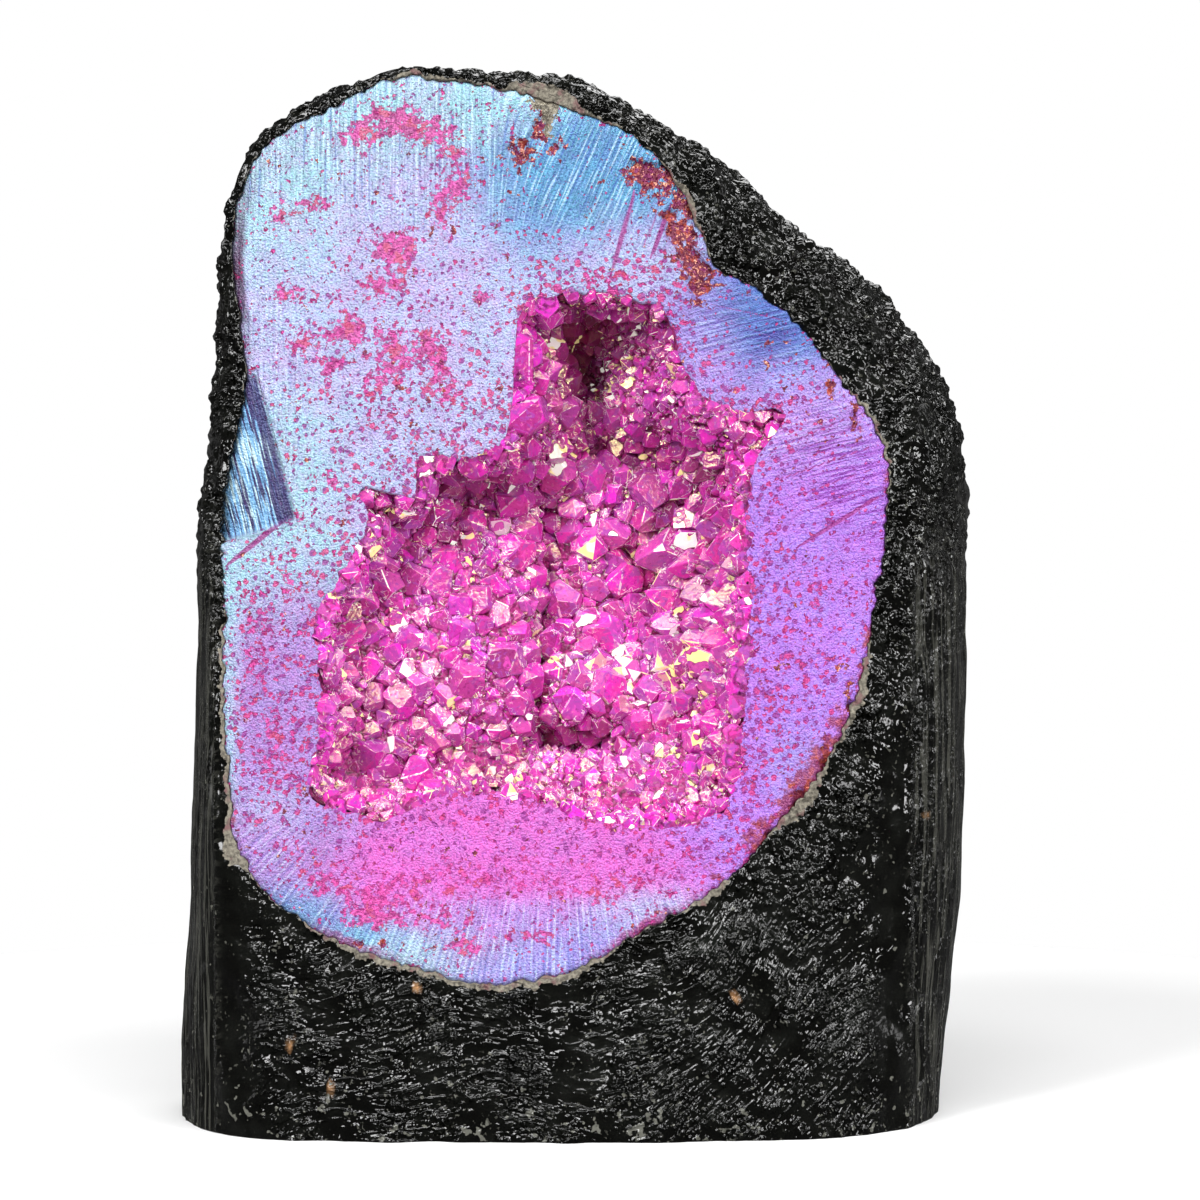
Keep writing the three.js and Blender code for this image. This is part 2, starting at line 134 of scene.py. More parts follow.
ICE = rgb(178, 222, 238)
SKY = rgb(98, 170, 218)
STEEL = rgb(84, 126, 204)
LAVENDER = rgb(194, 194, 238)
LILAC = rgb(196, 158, 238)
PERIWINKLE = rgb(166, 166, 240)
ORCHID = rgb(190, 128, 240)
ROSE = rgb(230, 108, 212)
MAUVE = rgb(184, 140, 216)

PLUM = rgb(84, 22, 70)
WINE = rgb(176, 50, 130)
PAINTED_SLIVER_PINK = rgb(255, 232, 240)
WHITE = (1, 1, 1)

# Tints of the ground face, as (u, w, reach in u, reach in w, colour): the coating's colours, with a painted
# reflection of the lamps in the pale ice-blue of the upper left.
FACE_TINTS_AND_REFLECTION = (
    (-50, 163, 13, 16, ICE), (-52, 138, 9, 13, LAVENDER), (-47, 118, 9, 7, ICE), (-26, 176, 18, 6, ICE),
    (-32, 152, 14, 14, LAVENDER), (-24, 134, 14, 13, LAVENDER), (-36, 118, 8, 8, LAVENDER),
    (0, 163, 13, 10, SKY), (8, 149, 10, 6, LAVENDER), (29.5, 138.5, 11, 8, STEEL), (21, 134, 6, 8, LILAC),
    (36, 122, 9, 7, LILAC), (40, 104, 12, 14, ORCHID), (38, 74, 13, 16, ORCHID), (-54, 104, 8, 12, ICE),
    (-59.4, 76, 2.2, 22, ICE), (-51, 74, 7, 18, MAUVE), (-50, 50, 8, 8, MAUVE), (-46, 40, 7, 3.4, SKY),
    (-30, 32, 12, 3.4, ICE), (-36, 35, 6, 3, SKY), (-8, 30, 10, 3.2, PERIWINKLE),
    (4, 35, 8, 2.6, PERIWINKLE), (-51, 56, 4, 4, LAVENDER), (38, 63, 5, 6, PERIWINKLE),
    (36, 129, 4, 3, PERIWINKLE), (-17, 33, 6, 2.6, MAUVE), (12, 38, 8, 4, LAVENDER), (-32, 43, 10, 5, ROSE),
    (-12, 47, 13, 6, ROSE), (8, 48, 12, 6, ROSE), (-10, 38, 16, 3, LILAC), (26, 52, 10, 7, ORCHID),
)

# ---- Arithmetic on arrays ------------------------------------------------------------------------


def array(values):
    return np.asarray(values, float)


def smooth(value, start, end):
    """0 below start, 1 above end, and an eased rise between."""
    share = np.clip((value - start) / (end - start), 0, 1)
    return share * share * (3 - 2 * share)


def periodic(knots):
    """A smooth function of direction through (angle, value) knots, by cubic pieces."""
    angles, values = array(sorted(knots)).T
    angles = np.concatenate([angles[-2:] - TURN, angles, angles[:3] + TURN])
    values = np.concatenate([values[-2:], values, values[:3]])
    slopes = np.zeros_like(values)
    slopes[1:-1] = (values[2:] - values[:-2]) / (angles[2:] - angles[:-2])

    def at(direction):
        angle = angles[2] + np.mod(array(direction) - angles[2], TURN)
        i = np.clip(np.searchsorted(angles, angle, side="right") - 1, 1, len(angles) - 3)
        span = angles[i + 1] - angles[i]
        t = (angle - angles[i]) / span
        bend = t * (1 - t) * span * ((1 - t) * slopes[i] - t * slopes[i + 1])
        return values[i] + (values[i + 1] - values[i]) * t * t * (3 - 2 * t) + bend

    return at


def by_degrees(knots):
    """The same through (degrees, value) knots."""
    return periodic([(math.radians(degrees), value) for degrees, value in knots])


def radius_of(outline, centre):
    """The radius of a star-shaped outline about a centre, as a function of direction."""
    offset = array(outline) - array(centre)
    angles = np.mod(np.arctan2(offset[:, 1], offset[:, 0]), TURN)
    return periodic(list(zip(angles, np.hypot(*offset.T))))


def lattice(cells, seed):
    """Repeatable random numbers from 0 to 1 for whole-number places."""
    x, y, z = np.moveaxis(cells.astype(np.int64).astype(np.uint32), -1, 0)
    mixed = x * np.uint32(73856093) ^ y * np.uint32(19349663) ^ z * np.uint32(83492791)
    mixed ^= np.uint32((seed * 2654435761 + 12345) % 2**32)
    for shift, factor in ((16, 0x7FEB352D), (15, 0x846CA68B), (16, 1)):
        mixed ^= mixed >> np.uint32(shift)
        mixed = mixed * np.uint32(factor)
    return mixed / 2**32


def waves(points, size, seed, octaves=1):
    """Smooth noise from about -1 to 1 whose features are about size across, with finer ones over it."""
    total = 0
    for octave in range(octaves):
        places = points / (size / 2**octave)
        cells = np.floor(places)
        part = places - cells
        ease = part**3 * (part * (part * 6 - 15) + 10)
        level = 0
        for corner in product((0, 1), repeat=3):
            at = cells + corner
            pull = np.stack([lattice(at, seed + octave * 7 + k) * 2 - 1 for k in range(3)], -1)
            share = np.prod(np.where(corner, ease, 1 - ease), -1)
            level = level + share * ((places - at) * pull).sum(-1)
        total = total + 1.6 * level / 2**octave
    return total


def grains(points, size, seed):
    """Distance to the nearest of many scattered places, about size apart, as a share of size."""
    places = points / size
    cells = np.floor(places)
    nearest = np.full(points.shape[:-1], 9.0)
    for offset in product((-1, 0, 1), repeat=3):
        cell = cells + offset
        middle = cell + np.stack([lattice(cell, seed + k) for k in range(3)], -1)
        nearest = np.minimum(nearest, np.linalg.norm(places - middle, axis=-1))
    return nearest


def influence(u, w, area):
    """1 in the middle of an area (u, w, reach in u, reach in w, ...), and less around it."""
    return np.exp(-(((u - area[0]) / area[2]) ** 2) - ((w - area[1]) / area[3]) ** 2)


def humps(u, w, areas):
    """The sum of rounded humps, each (u, w, reach in u, reach in w, height)."""
    return sum(area[4] * influence(u, w, area) for area in areas)


# ---- Face coordinates ----------------------------------------------------------------------------

SIN, COS = math.sin(FACE_TILT), math.cos(FACE_TILT)


def to_space(u, w, d):
    """Face coordinates to the frame, all in millimetres."""
    u, w, d = np.broadcast_arrays(array(u), array(w), array(d))
    return np.stack([u, FACE_FOOT_Y + w * SIN + d * COS, w * COS - d * SIN], -1)


def to_face(points):
    """The frame's millimetres to face coordinates."""
    y, z = points[..., 1] - FACE_FOOT_Y, points[..., 2]
    return points[..., 0], y * SIN + z * COS, y * COS - z * SIN


def around(count):
    return np.arange(count) * TURN / count


def polar(centre, radius, direction):
    return centre[0] + radius * np.cos(direction), centre[1] + radius * np.sin(direction)


quartz_radius = radius_of(QUARTZ_OUTLINE, FACE_CENTRE)
jacket_radius = radius_of(JACKET_OUTLINE, FACE_CENTRE)
hollow_radius = radius_of(HOLLOW_OUTLINE, HOLLOW_CENTRE)
widest_depth = by_degrees(WIDEST_DEPTHS)


def floor_depth(u, w):
    """Depth of the hollow's floor, which falls away steeply from its edge."""
    out_u, out_w = u - HOLLOW_CENTRE[0], w - HOLLOW_CENTRE[1]
    share = np.hypot(out_u, out_w) / hollow_radius(np.arctan2(out_w, out_u))
    depth = FLOOR_DEPTH + humps(u, w, FLOOR_FORMS)
    return depth * np.sqrt(np.clip(1 - np.minimum(1, share) ** EDGE_STEEPNESS, 0, 1))


# ---- Meshes --------------------------------------------------------------------------------------


def ring_faces(rings, count):
    """Quads between rings of corners, and fans that close the ends on two points after the rings."""
    ring, i = np.meshgrid(np.arange(rings - 1), np.arange(count), indexing="ij")
    follow = (i + 1) % count
    start = ring * count
    quads = np.stack([start + i, start + count + i, start + count + follow, start + follow], -1)
    i, follow = i[0], follow[0]
    last_ring, pole = (rings - 1) * count, np.full(count, rings * count)
    fans = [np.stack([pole, i, follow], -1), np.stack([pole + 1, last_ring + follow, last_ring + i], -1)]
    return quads.reshape(-1, 4).tolist() + np.concatenate(fans).tolist()


def add_object(name, data):
    made = bpy.data.objects.new(name, data)
    bpy.context.scene.collection.objects.link(made)
    return made


def make_object(name, points, faces, material, smooth_faces=True):
    """A mesh object from points in millimetres."""
    mesh = bpy.data.meshes.new(name)
    mesh.from_pydata((array(points) * MM).tolist(), [], faces)
    mesh.update()
    mesh.polygons.foreach_set("use_smooth", [smooth_faces] * len(mesh.polygons))
    mesh.materials.append(material)
    return add_object(name, mesh)


ATTRIBUTE_FIELDS = {"FLOAT": "value", "FLOAT_VECTOR": "vector", "FLOAT_COLOR": "color"}


def give(made, named_values, kind="FLOAT", domain="POINT"):
    """Writes arrays of values to a mesh as attributes."""
    for name, values in named_values.items():
        attribute = made.data.attributes.new(name, kind, domain)
        attribute.data.foreach_set(ATTRIBUTE_FIELDS[kind], array(values).ravel())


def normals_of(grid):
    """Outward unit normals of rings of points, shaped (ring, corner, 3)."""
    along = np.gradient(grid, axis=0)
    across = np.roll(grid, -1, axis=1) - np.roll(grid, 1, axis=1)
    normal = np.cross(along, across)
    return normal / np.maximum(np.linalg.norm(normal, axis=-1, keepdims=True), 1e-9)


# ---- Materials -----------------------------------------------------------------------------------


def put(socket, value):
    """Links a node's output to a socket, or sets the socket to a number or a colour."""
    if isinstance(value, Output):
        socket.id_data.links.new(value.socket, socket)
    elif hasattr(socket.default_value, "__len__"):
        socket.default_value = (*value, 1)[:len(socket.default_value)]
    else:
        socket.default_value = value


def add_node(tree, kind, inputs, output=0, **settings):
    node = tree.nodes.new("ShaderNode" + kind)
    for key, value in settings.items():
        setattr(node, key, value)
    for key, value in inputs.items():
        put(node.inputs[key], value)
    return Output(node.outputs[output])


class Output:
    """A node's output. What is worked out from it is the output of a new node."""

    def __init__(self, socket):
        self.socket = socket

    def beside(self, name):
        """Another output of the same node."""
        return Output(self.socket.node.outputs[name])

    def node(self, kind, inputs, **settings):
        return add_node(self.socket.id_data, kind, inputs, **settings)

    def math(self, operation, other=0.0):
        return self.node("Math", {0: self, 1: other}, operation=operation)

    def __add__(self, other):
        return self.math("ADD", other)

    def __sub__(self, other):
        return self.math("SUBTRACT", other)

    def __mul__(self, other):
        return self.math("MULTIPLY", other)

    def ramp(self, low, high, to_low=0.0, to_high=1.0):
        """An eased rise from to_low to to_high as this goes from low to high."""
        span = {"Value": self, "From Min": low, "From Max": high, "To Min": to_low, "To Max": to_high}
        return self.node("MapRange", span, interpolation_type="SMOOTHSTEP")

    def band(self, middle, reach):
        """1 where this is at middle, falling to 0 at reach on both sides."""
        return (self - middle).math("ABSOLUTE").ramp(reach, 0.4 * reach)

    def blend(self, first, second):
        """A number between two others, by this share."""
        return self.node("Mix", {0: self, 2: first, 3: second})


def mix(share, first, second, kind="MIX"):
    """A colour between two others. At least one of the three is a node's output."""
    tree = next(value.socket.id_data for value in (share, first, second) if isinstance(value, Output))
    return add_node(tree, "Mix", {0: share, 6: first, 7: second}, 2, data_type="RGBA", blend_type=kind)


def multiply(first, second):
    return mix(1.0, first, second, "MULTIPLY")


def layered(colour, *layers):
    """A colour under layers, each with the share that it covers."""
    for share, over in layers:
        colour = mix(share, colour, over)
    return colour


class Shader:
    """A material of nodes on one surface, with sizes in millimetres."""

    def __init__(self, name):
        self.material = bpy.data.materials.new(name)
        self.material.use_nodes = True
        self.tree = self.material.node_tree

    def attribute(self, name, output="Fac"):
        return add_node(self.tree, "Attribute", {}, output, attribute_name=name)

    def place(self):
        return add_node(self.tree, "TexCoord", {}, "Object")

    def noise(self, size, detail=2.0, roughness=0.5, vector=None, distortion=0.0):
        """Cloudy noise from 0 to 1 with features of this size."""
        inputs = {"Vector": vector or self.place(), "Scale": 1 / (size * MM), "Detail": detail}
        inputs |= {"Roughness": roughness, "Distortion": distortion}
        return add_node(self.tree, "TexNoise", inputs, "Fac")

    def cells(self, size, vector=None):
        """Distance from the middles of scattered cells; beside it, each cell's Color."""
        return add_node(self.tree, "TexVoronoi", {"Vector": vector or self.place(), "Scale": 1 / (size * MM)})

    def lines(self, period, vector, wobble):
        """Parallel lines across the first axis of the vector, from 0 to 1."""
        inputs = {"Vector": vector, "Scale": TURN / (20 * period * MM), "Distortion": wobble, "Detail": 2.0}
        return add_node(self.tree, "TexWave", inputs, "Fac")

    def bump(self, height, distance, strength):
        inputs = {"Height": height, "Distance": distance * MM, "Strength": strength}
        return add_node(self.tree, "Bump", inputs)

    def finish(self, **values):
        for key, value in values.items():
            put(self.tree.nodes["Principled BSDF"].inputs[key.replace("_", " ")], value)
        return self.material


def jacket_material():
    """Gloss black paint over gritty cement, worn to grey cement beside the quartz. Its small grey dots are
    partly cement grit and partly painted glints, and the upright grooves carry a painted grey sheen.
    """
    shader = Shader("black_paint")
    noise, attribute = shader.noise, shader.attribute
    rippled, grooved, flow = attribute("rippled"), attribute("grooved"), attribute("flow", "Vector")
    bare = (attribute("bare") + noise(1.2, 4).ramp(0.3, 0.7, -0.25, 0.25)).ramp(0.44, 0.56)
    # Grey dots: partly cement grit and partly painted glints.
    grit_and_glint_specks = noise(0.8, 2).ramp(0.64, 0.68) * noise(8, 2).ramp(0.45, 0.6)
    chips = noise(1.7, 2) + attribute("low") * 0.08
    upright = noise(1.1, 3, 0.6, flow)
    paint = layered(
        mix(noise(5, 3).ramp(0.35, 0.7), rgb(3, 3, 2), rgb(13, 14, 11)),
        (grit_and_glint_specks * 0.5, rgb(104, 104, 96)),
        (attribute("fleck"), rgb(176, 132, 92)),
        # a painted grey sheen along the upright grooves
        (upright.ramp(0.5, 0.6) * grooved * 0.7, rgb(78, 78, 72)),
        (chips.ramp(0.71, 0.74), rgb(96, 96, 89)),
    )
    cement = layered(
        mix(noise(0.6, 3, 0.6).ramp(0.3, 0.7), rgb(78, 73, 65), rgb(140, 134, 120)),
        (noise(2.2, 2).ramp(0.5, 0.7), rgb(116, 84, 84)),
    )

    wrinkles = (noise(2.4, 1.5, 0.5, flow) - 0.5).math("ABSOLUTE").ramp(0.0, 0.08, 1.0, 0.0)
    ripples = noise(1.4, 2, 0.5, flow) * 1.3 + wrinkles * 0.35
    domes = shader.cells(1.2).ramp(0.05, 0.55, 1.0, 0.0)
    grit = noise(1.6, 1.5) * 1.2 + domes * 0.36
    height = rippled.blend(grit, ripples) + domes * rippled * 0.25 + upright * grooved * 1.4
    height = height * noise(9, 2).ramp(0.38, 0.62, 0.4, 1.5) * attribute("calm").blend(1.0, 0.12)
    rough = bare.blend(noise(5, 3).ramp(0.4, 0.65, 0.05, 0.2), 0.85)
    return shader.finish(
        Base_Color=mix(bare, paint, cement), Roughness=rough, IOR=1.45, Normal=shader.bump(height, 1.0, 1.0),
    )


def face_material():
    """Ground quartz under a thin coating: a pale sheen, saw lines, pits and worn patches."""
    shader = Shader("coated_face")
    noise, attribute = shader.noise, shader.attribute
    # tint: the coating's colour, with a painted reflection of the lamps at the upper left
    tint, grain = attribute("tint", "Color"), attribute("grain", "Vector")
    lined, striped, crowd = attribute("lined"), attribute("striped"), attribute("pits")

    # The sheen, which drifts between cool and warm, and the saw's lines in it.
    speckle = noise(0.36, 1.5, 0.55)
    saw, saw_fine = noise(0.62, 2, 0.5, grain), noise(0.36, 1, 0.5, grain)
    cuts = shader.lines(0.85, grain, 6.0) * 0.2 + saw * 0.95
    stripes = cuts.ramp(0.42, 0.68, 0.86, 1.08) * saw_fine.ramp(0.4, 0.6, 0.92, 1.05)
    level = noise(4, 3, 0.6).ramp(0.3, 0.7, 0.92, 1.06) * lined.blend(1.0, stripes)
    drift = mix(noise(6, 3, 0.6).ramp(0.4, 0.6), (1.04, 0.93, 0.98), (0.94, 1.06, 1.02))
    flicker = mix(noise(0.7, 2, 0.6).ramp(0.42, 0.58), (1.05, 0.93, 0.99), (0.95, 1.05, 1.01))
    sheen = multiply(tint, drift)
    shade = mix(0.6, sheen, multiply(tint, rgb(196, 156, 230)))
    sheen = multiply(multiply(mix(speckle.ramp(0.34, 0.48), shade, sheen), flicker), level)
    bruise = saw.ramp(0.51, 0.43) * striped

    # Pits: round ones of many sizes, and ragged ones.
    wobble = noise(0.5, 1) * (0.7 * MM)
    dot = shader.cells(1.15, add_node(shader.tree, "VectorMath", {0: shader.place(), 1: wobble}))
    dots = (dot.beside("Color") * crowd.ramp(0.0, 0.9, 0.24, 0.8) - dot).ramp(0.0, 0.05)
    pitting = noise(1.3, 2.5, 0.6) + crowd * 0.13
    deep = pitting.ramp(0.72, 0.75)
    pits = dots.math("MAXIMUM", pitting.ramp(0.70, 0.712))
    pit_colour = layered(
        mix(noise(2, 2).ramp(0.46, 0.54), rgb(136, 26, 130), rgb(188, 20, 108)),
        (deep * 0.8, rgb(200, 56, 92)),
    )

    # Patches where the coating is worn, with a darker edge.
    wearing = noise(1.3, 4, 0.66) + noise(3.4, 2) * 0.22 + attribute("wear") * 0.35
    patch = wearing.ramp(0.77, 0.785)
    mottle = noise(0.8, 3, 0.6)
    patch_colour = layered(
        mix(mottle.ramp(0.44, 0.56), rgb(160, 22, 114), rgb(212, 64, 156)),
        (noise(2.4, 3).ramp(0.56, 0.62), rgb(190, 56, 104)),
    )

    # Rust, stains beside the edge, the broken facet and bare cement.
    rust = attribute("rust") + noise(1.5, 4, 0.65).ramp(0.3, 0.7, -0.45, 0.4)
    rust_colour = layered(
        mix(noise(1.4, 3, 0.6).ramp(0.52, 0.58), rgb(104, 12, 50), rgb(158, 56, 42)),
        (noise(1.3, 2, 0.6).ramp(0.54, 0.58), rgb(124, 24, 84)),
        (noise(0.6, 2, 0.6).ramp(0.58, 0.64), rgb(220, 150, 124)),
    )
    stain = attribute("stain") + noise(1.8, 4, 0.65).ramp(0.3, 0.7, -0.35, 0.35)
    stain_colour = mix(noise(1.5, 3, 0.6).ramp(0.48, 0.62), rgb(128, 20, 66), rgb(168, 66, 54))
    wedge = attribute("wedge") + saw.ramp(0.34, 0.66, 0.5, -0.5)
    # The broken facet's colour: painted shade along its step, and painted highlights in its white specks.
    broken_colour = layered(
        mix(saw.ramp(0.42, 0.52), rgb(38, 24, 84), rgb(112, 168, 216)),
        (saw_fine.ramp(0.5, 0.6, 0, 0.8), rgb(206, 236, 240)),
        (wedge.ramp(0.35, 0.6, 0, 0.9), rgb(44, 16, 92)),
    )
    cement = attribute("cement") + noise(1.4, 3, 0.6).ramp(0.3, 0.7, -0.25, 0.25)
    cement_colour = mix(noise(0.6, 3, 0.6).ramp(0.3, 0.7), rgb(84, 78, 68), rgb(160, 152, 134))

    colour = layered(
        sheen,
        (cuts.ramp(0.64, 0.74) * lined * striped.ramp(0, 0.5, 0.4, 0.1), rgb(200, 228, 240)),
        (cuts.ramp(0.46, 0.38) * lined * 0.55, multiply(tint, rgb(122, 140, 222))),
        (pits * 0.85, pit_colour),
        (patch * 0.88, patch_colour),
        (wearing.band(0.778, 0.014) * 0.4, rgb(138, 24, 114)),
        (bruise * 0.85, multiply(tint, rgb(196, 96, 190))),
        (attribute("streak").ramp(0.25, 0.7, 0, 0.85), rgb(142, 24, 118)),
        (rust.ramp(0.46, 0.52), rust_colour),
        (stain.ramp(0.35, 0.75, 0, 0.85), stain_colour),
        (attribute("broken") * 0.95, broken_colour),
        (cement.ramp(0.5, 0.55), cement_colour),
    )
    height = pits * -0.35 + deep * -0.3 + speckle * 1.1 + saw.ramp(0.4, 0.6) * lined * 0.35
    height = height + patch * -0.3 + mottle * patch * 0.3
    return shader.finish(
        Base_Color=colour, Metallic=0.25, Roughness=speckle.ramp(0.3, 0.7, 0.3, 0.46), IOR=1.6,
        Normal=shader.bump(height, 0.4, 0.9),
    )


def crystal_material():
    """Coated quartz points: clear magenta with cloudy insides, with painted shade where they meet, at their
    feet and in the hollow's recesses, and painted glints and edge highlights that also give out light of
    their own.
    """
    shader = Shader("coated_points")
    noise, attribute = shader.noise, shader.attribute
    tone, facet, crease, dark = (attribute(name) for name in ("tone", "facet", "crease", "dark"))
    cloud, mottle, painted_glint_cloud = noise(1.5, 2, distortion=1.0), noise(0.8, 3, 0.6), noise(2.2, 1, 0.4)
    # Painted glints: whole small facets, and cloud-cut parts of larger ones, painted cream or white.
    painted_glint_facets = facet.ramp(0.90, 0.905)
    painted_glint = (painted_glint_facets * painted_glint_cloud.ramp(0.495, 0.502)).math("MAXIMUM", facet.ramp(0.945, 0.948))
    painted_glint_colour = mix(noise(5, 1).ramp(0.47, 0.5), rgb(255, 234, 160), rgb(255, 252, 244))
    # Painted highlights: thin pale slivers near where the points meet, and on some chamfers.
    strokes = noise(1.0, 1.5).band(0.5, 0.027) * noise(1.7, 2).ramp(0.48, 0.52) * crease.ramp(1.0, 0.6) * 0.8
    painted_chamfer_light = attribute("edge").ramp(0.6, 0.66) * mottle.ramp(0.46, 0.52)
    # The points' colour, with painted shade, painted glints and painted highlights layered over it.
    body = layered(
        mix(noise(6, 2).ramp(0.4, 0.6), rgb(234, 46, 192), rgb(228, 60, 168)),
        (tone.ramp(0.0, 0.4, 0.8, 0), rgb(186, 76, 150)),
        (tone.ramp(0.75, 1.0, 0, 0.8), rgb(252, 58, 226)),
        (facet.ramp(0.5, 0.66, 0, 0.65), rgb(176, 84, 176)),
        (facet.ramp(0.82, 0.86, 0, 0.45), rgb(240, 92, 176)),
        (facet.ramp(0.25, 0.1, 0, 0.7), rgb(146, 46, 112)),
        (cloud.ramp(0.52, 0.66, 0, 0.7), rgb(166, 78, 180)),
        (cloud.ramp(0.42, 0.3, 0, 0.6), rgb(255, 92, 214)),
        (mottle.ramp(0.58, 0.68, 0, 0.4), rgb(250, 134, 184)),
        (mottle.ramp(0.42, 0.34, 0, 0.5), rgb(140, 22, 108)),
        # painted shade towards each point's foot
        (attribute("rise").ramp(0.0, 0.5, 0.5, 0), rgb(150, 30, 104)),
        # a painted dark rim round the painted glints
        (painted_glint_facets * painted_glint_cloud.ramp(0.47, 0.48) * 0.8, rgb(126, 12, 74)),
        (painted_glint, painted_glint_colour),
        (strokes, PAINTED_SLIVER_PINK),
        # painted shade where the points meet
        (crease.ramp(0.04, 0.18, 0.95, 0), rgb(116, 2, 76)),
        (painted_chamfer_light * 0.7, rgb(255, 222, 232)),
        # painted shade in the hollow's recesses, furrows and chimney
        (dark * 0.88, rgb(112, 0, 66)),
    )
    # The painted glints and slivers give out light though they are no lamp; the slivers less so in painted
    # shade.
    painted_glow = mix(strokes * (dark * -1 + 1) * 0.3, (0, 0, 0), PAINTED_SLIVER_PINK)
    return shader.finish(
        Base_Color=body, Roughness=0.12, IOR=1.9, Thin_Film_Thickness=200, Thin_Film_IOR=1.5,
        Subsurface_Weight=0.4, Subsurface_Radius=(1.0, 0.35, 0.8), Subsurface_Scale=0.0012,
        Emission_Color=mix(painted_glint, painted_glow, painted_glint_colour), Emission_Strength=0.36,
        Normal=shader.bump(cloud + mottle, 0.2, 0.8),
    )


def lining_material():
    """The crust between the points: deep magenta, a painted shade for the gaps between them, and
    fine-grained.
    """
    shader = Shader("crust_base")
    colour = mix(shader.noise(0.9, 3, 0.6).ramp(0.3, 0.7), rgb(84, 10, 52), rgb(196, 52, 140))
    return shader.finish(Base_Color=colour, Roughness=0.3, Normal=shader.bump(shader.cells(0.7), 0.4, 0.8))


# ---- The jacket ----------------------------------------------------------------------------------

AROUND = 880  # corners in each ring of the jacket and of the quartz
RIM_RINGS = (0.03, 0.3, 0.6, 0.9)  # how far outside the quartz's edge the jacket's first rings lie
FLARE_RINGS = 68
BACK_RINGS = 30
SOCKET_RINGS = 6
FLARE_CROWDING = 1.2  # crowds the flare's rings towards the face
RIM_DEPTH = 0.06  # of the jacket's first rings, behind the face
LIP_DEPTH = 6  # how far the jacket's inner edge reaches back along the quartz
RELIEF_DROP = 0.45  # keeps the grit inside the solid's box
# Width of the bare cement beside the quartz: (direction in degrees, millimetres).
BARE_WIDTHS = (
    (0, 0), (14, 0.3), (25, 0.8), (32, 0.1), (60, 0), (66, 0.5), (70, 1.6), (74, 0.3), (80, 0.1), (86, 0.8),
    (89, 2.8), (94, 2.4), (97, 0.4), (106, 1), (110, 0.1), (122, 0), (150, 0), (185, 0), (195, 0.6),
    (210, 0.9), (218, 1.2), (222.5, 2.6), (226, 0.3), (236, 0.3), (244, 1.2), (256, 0.9), (262, 1.2),
    (272, 1.5), (280, 0.3), (290, 0.4), (296, 1.2), (300, 0.1), (308, 0.3), (313, 2.2), (317, 2),
    (322, 0.8), (328, 0.5), (335, 1.6), (340, 1.3), (348, 0.1),
)
# Specks of other colour on the paint, as (x, z, reach), on the front.
FLECKS = (
    (-26.6, 25.8, 0.8), (-47.6, 16.2, 0.8), (26.6, 24.2, 0.5), (59, 53, 0.7), (-41, 9, 0.5), (34, 13, 0.4),
)
# Raised lines left by the trowel on the front, as (start, end) in x and z.
RIDGES = (
    ((25, 3), (37.5, 18.5)), ((31, 5.5), (54, 17.5)), ((20, 12), (30, 24)), ((-60, 34), (-52, 12)),
    ((-52, 12), (-30, 6)),
)


def body_grid(directions, radius, depth, way_back=0):
    """Rings of body points: radius and depth shaped (ring, corner), way_back (ring,)."""
    middle_w = FACE_CENTRE[1] - BACK_DROP * np.reshape(way_back, (-1, 1)) ** 2
    return to_space(*polar((FACE_CENTRE[0], middle_w), radius, directions), depth)


def axis_point(depth, way_back):
    """The body's middle at a depth, which sinks on the way back."""
    return to_space(FACE_CENTRE[0], FACE_CENTRE[1] - BACK_DROP * way_back**2, depth)


def round_back(rings):
    angle = np.arange(1, rings) / rings * math.pi / 2
    return np.cos(angle) ** (2 / SQUARENESS), np.sin(angle) ** (2 / SQUARENESS)


def swell(points):
    phase = 0
    for along_x, along_y, along_z, start, height in SWELLS:
        turn = along_x * points[..., 0] + along_y * (points[..., 1] - FACE_FOOT_Y) + along_z * points[..., 2]
        phase = phase + height * np.sin(TURN * turn + start)
    return phase


def jacket_zones(points):
    """Shares, from 0 to 1, in which the cement is trowelled in ripples, smoothed, or grooved upright."""
    x, y, z = np.moveaxis(points, -1, 0)
    rippled = (1 - smooth(z + 0.15 * np.abs(x), 34, 58)) * (0.95 - 0.35 * smooth(x, 0, 30))
    foot = 1 - smooth(z, 55, 95)
    columns = np.exp(-(((x + 59.5) / 4.2) ** 2)) + np.exp(-(((x - 53.6) / 3.0) ** 2))
    grooved = smooth(np.abs(x + 2), 57, 60.5) * (1 - smooth(z, 84, 110))
    calm = np.maximum(foot * np.clip(1.3 * columns, 0, 1) * (y < 0), 0.3 * grooved)
    return rippled, calm, grooved


def flow_of(points):
    """Places drawn out along the trowel's strokes, level at the left and rising at the right."""
    x, y, z = np.moveaxis(points, -1, 0)
    _, _, grooved = jacket_zones(points)
    lean = 0.08 + 0.62 * smooth(x, 8, 40)
    wander = 2.2 * np.sin(x / 17) + 1.2 * np.sin(x / 5.3 + z / 9)
    level = np.stack([0.42 * x, 0.45 * y, (z - lean * x + wander) / np.hypot(1, lean)], -1)
    upright = np.stack([x, y, 0.05 * z], -1)
    return level + (upright - level) * np.where(grooved > 0.5, 1.0, 0.0)[..., None]


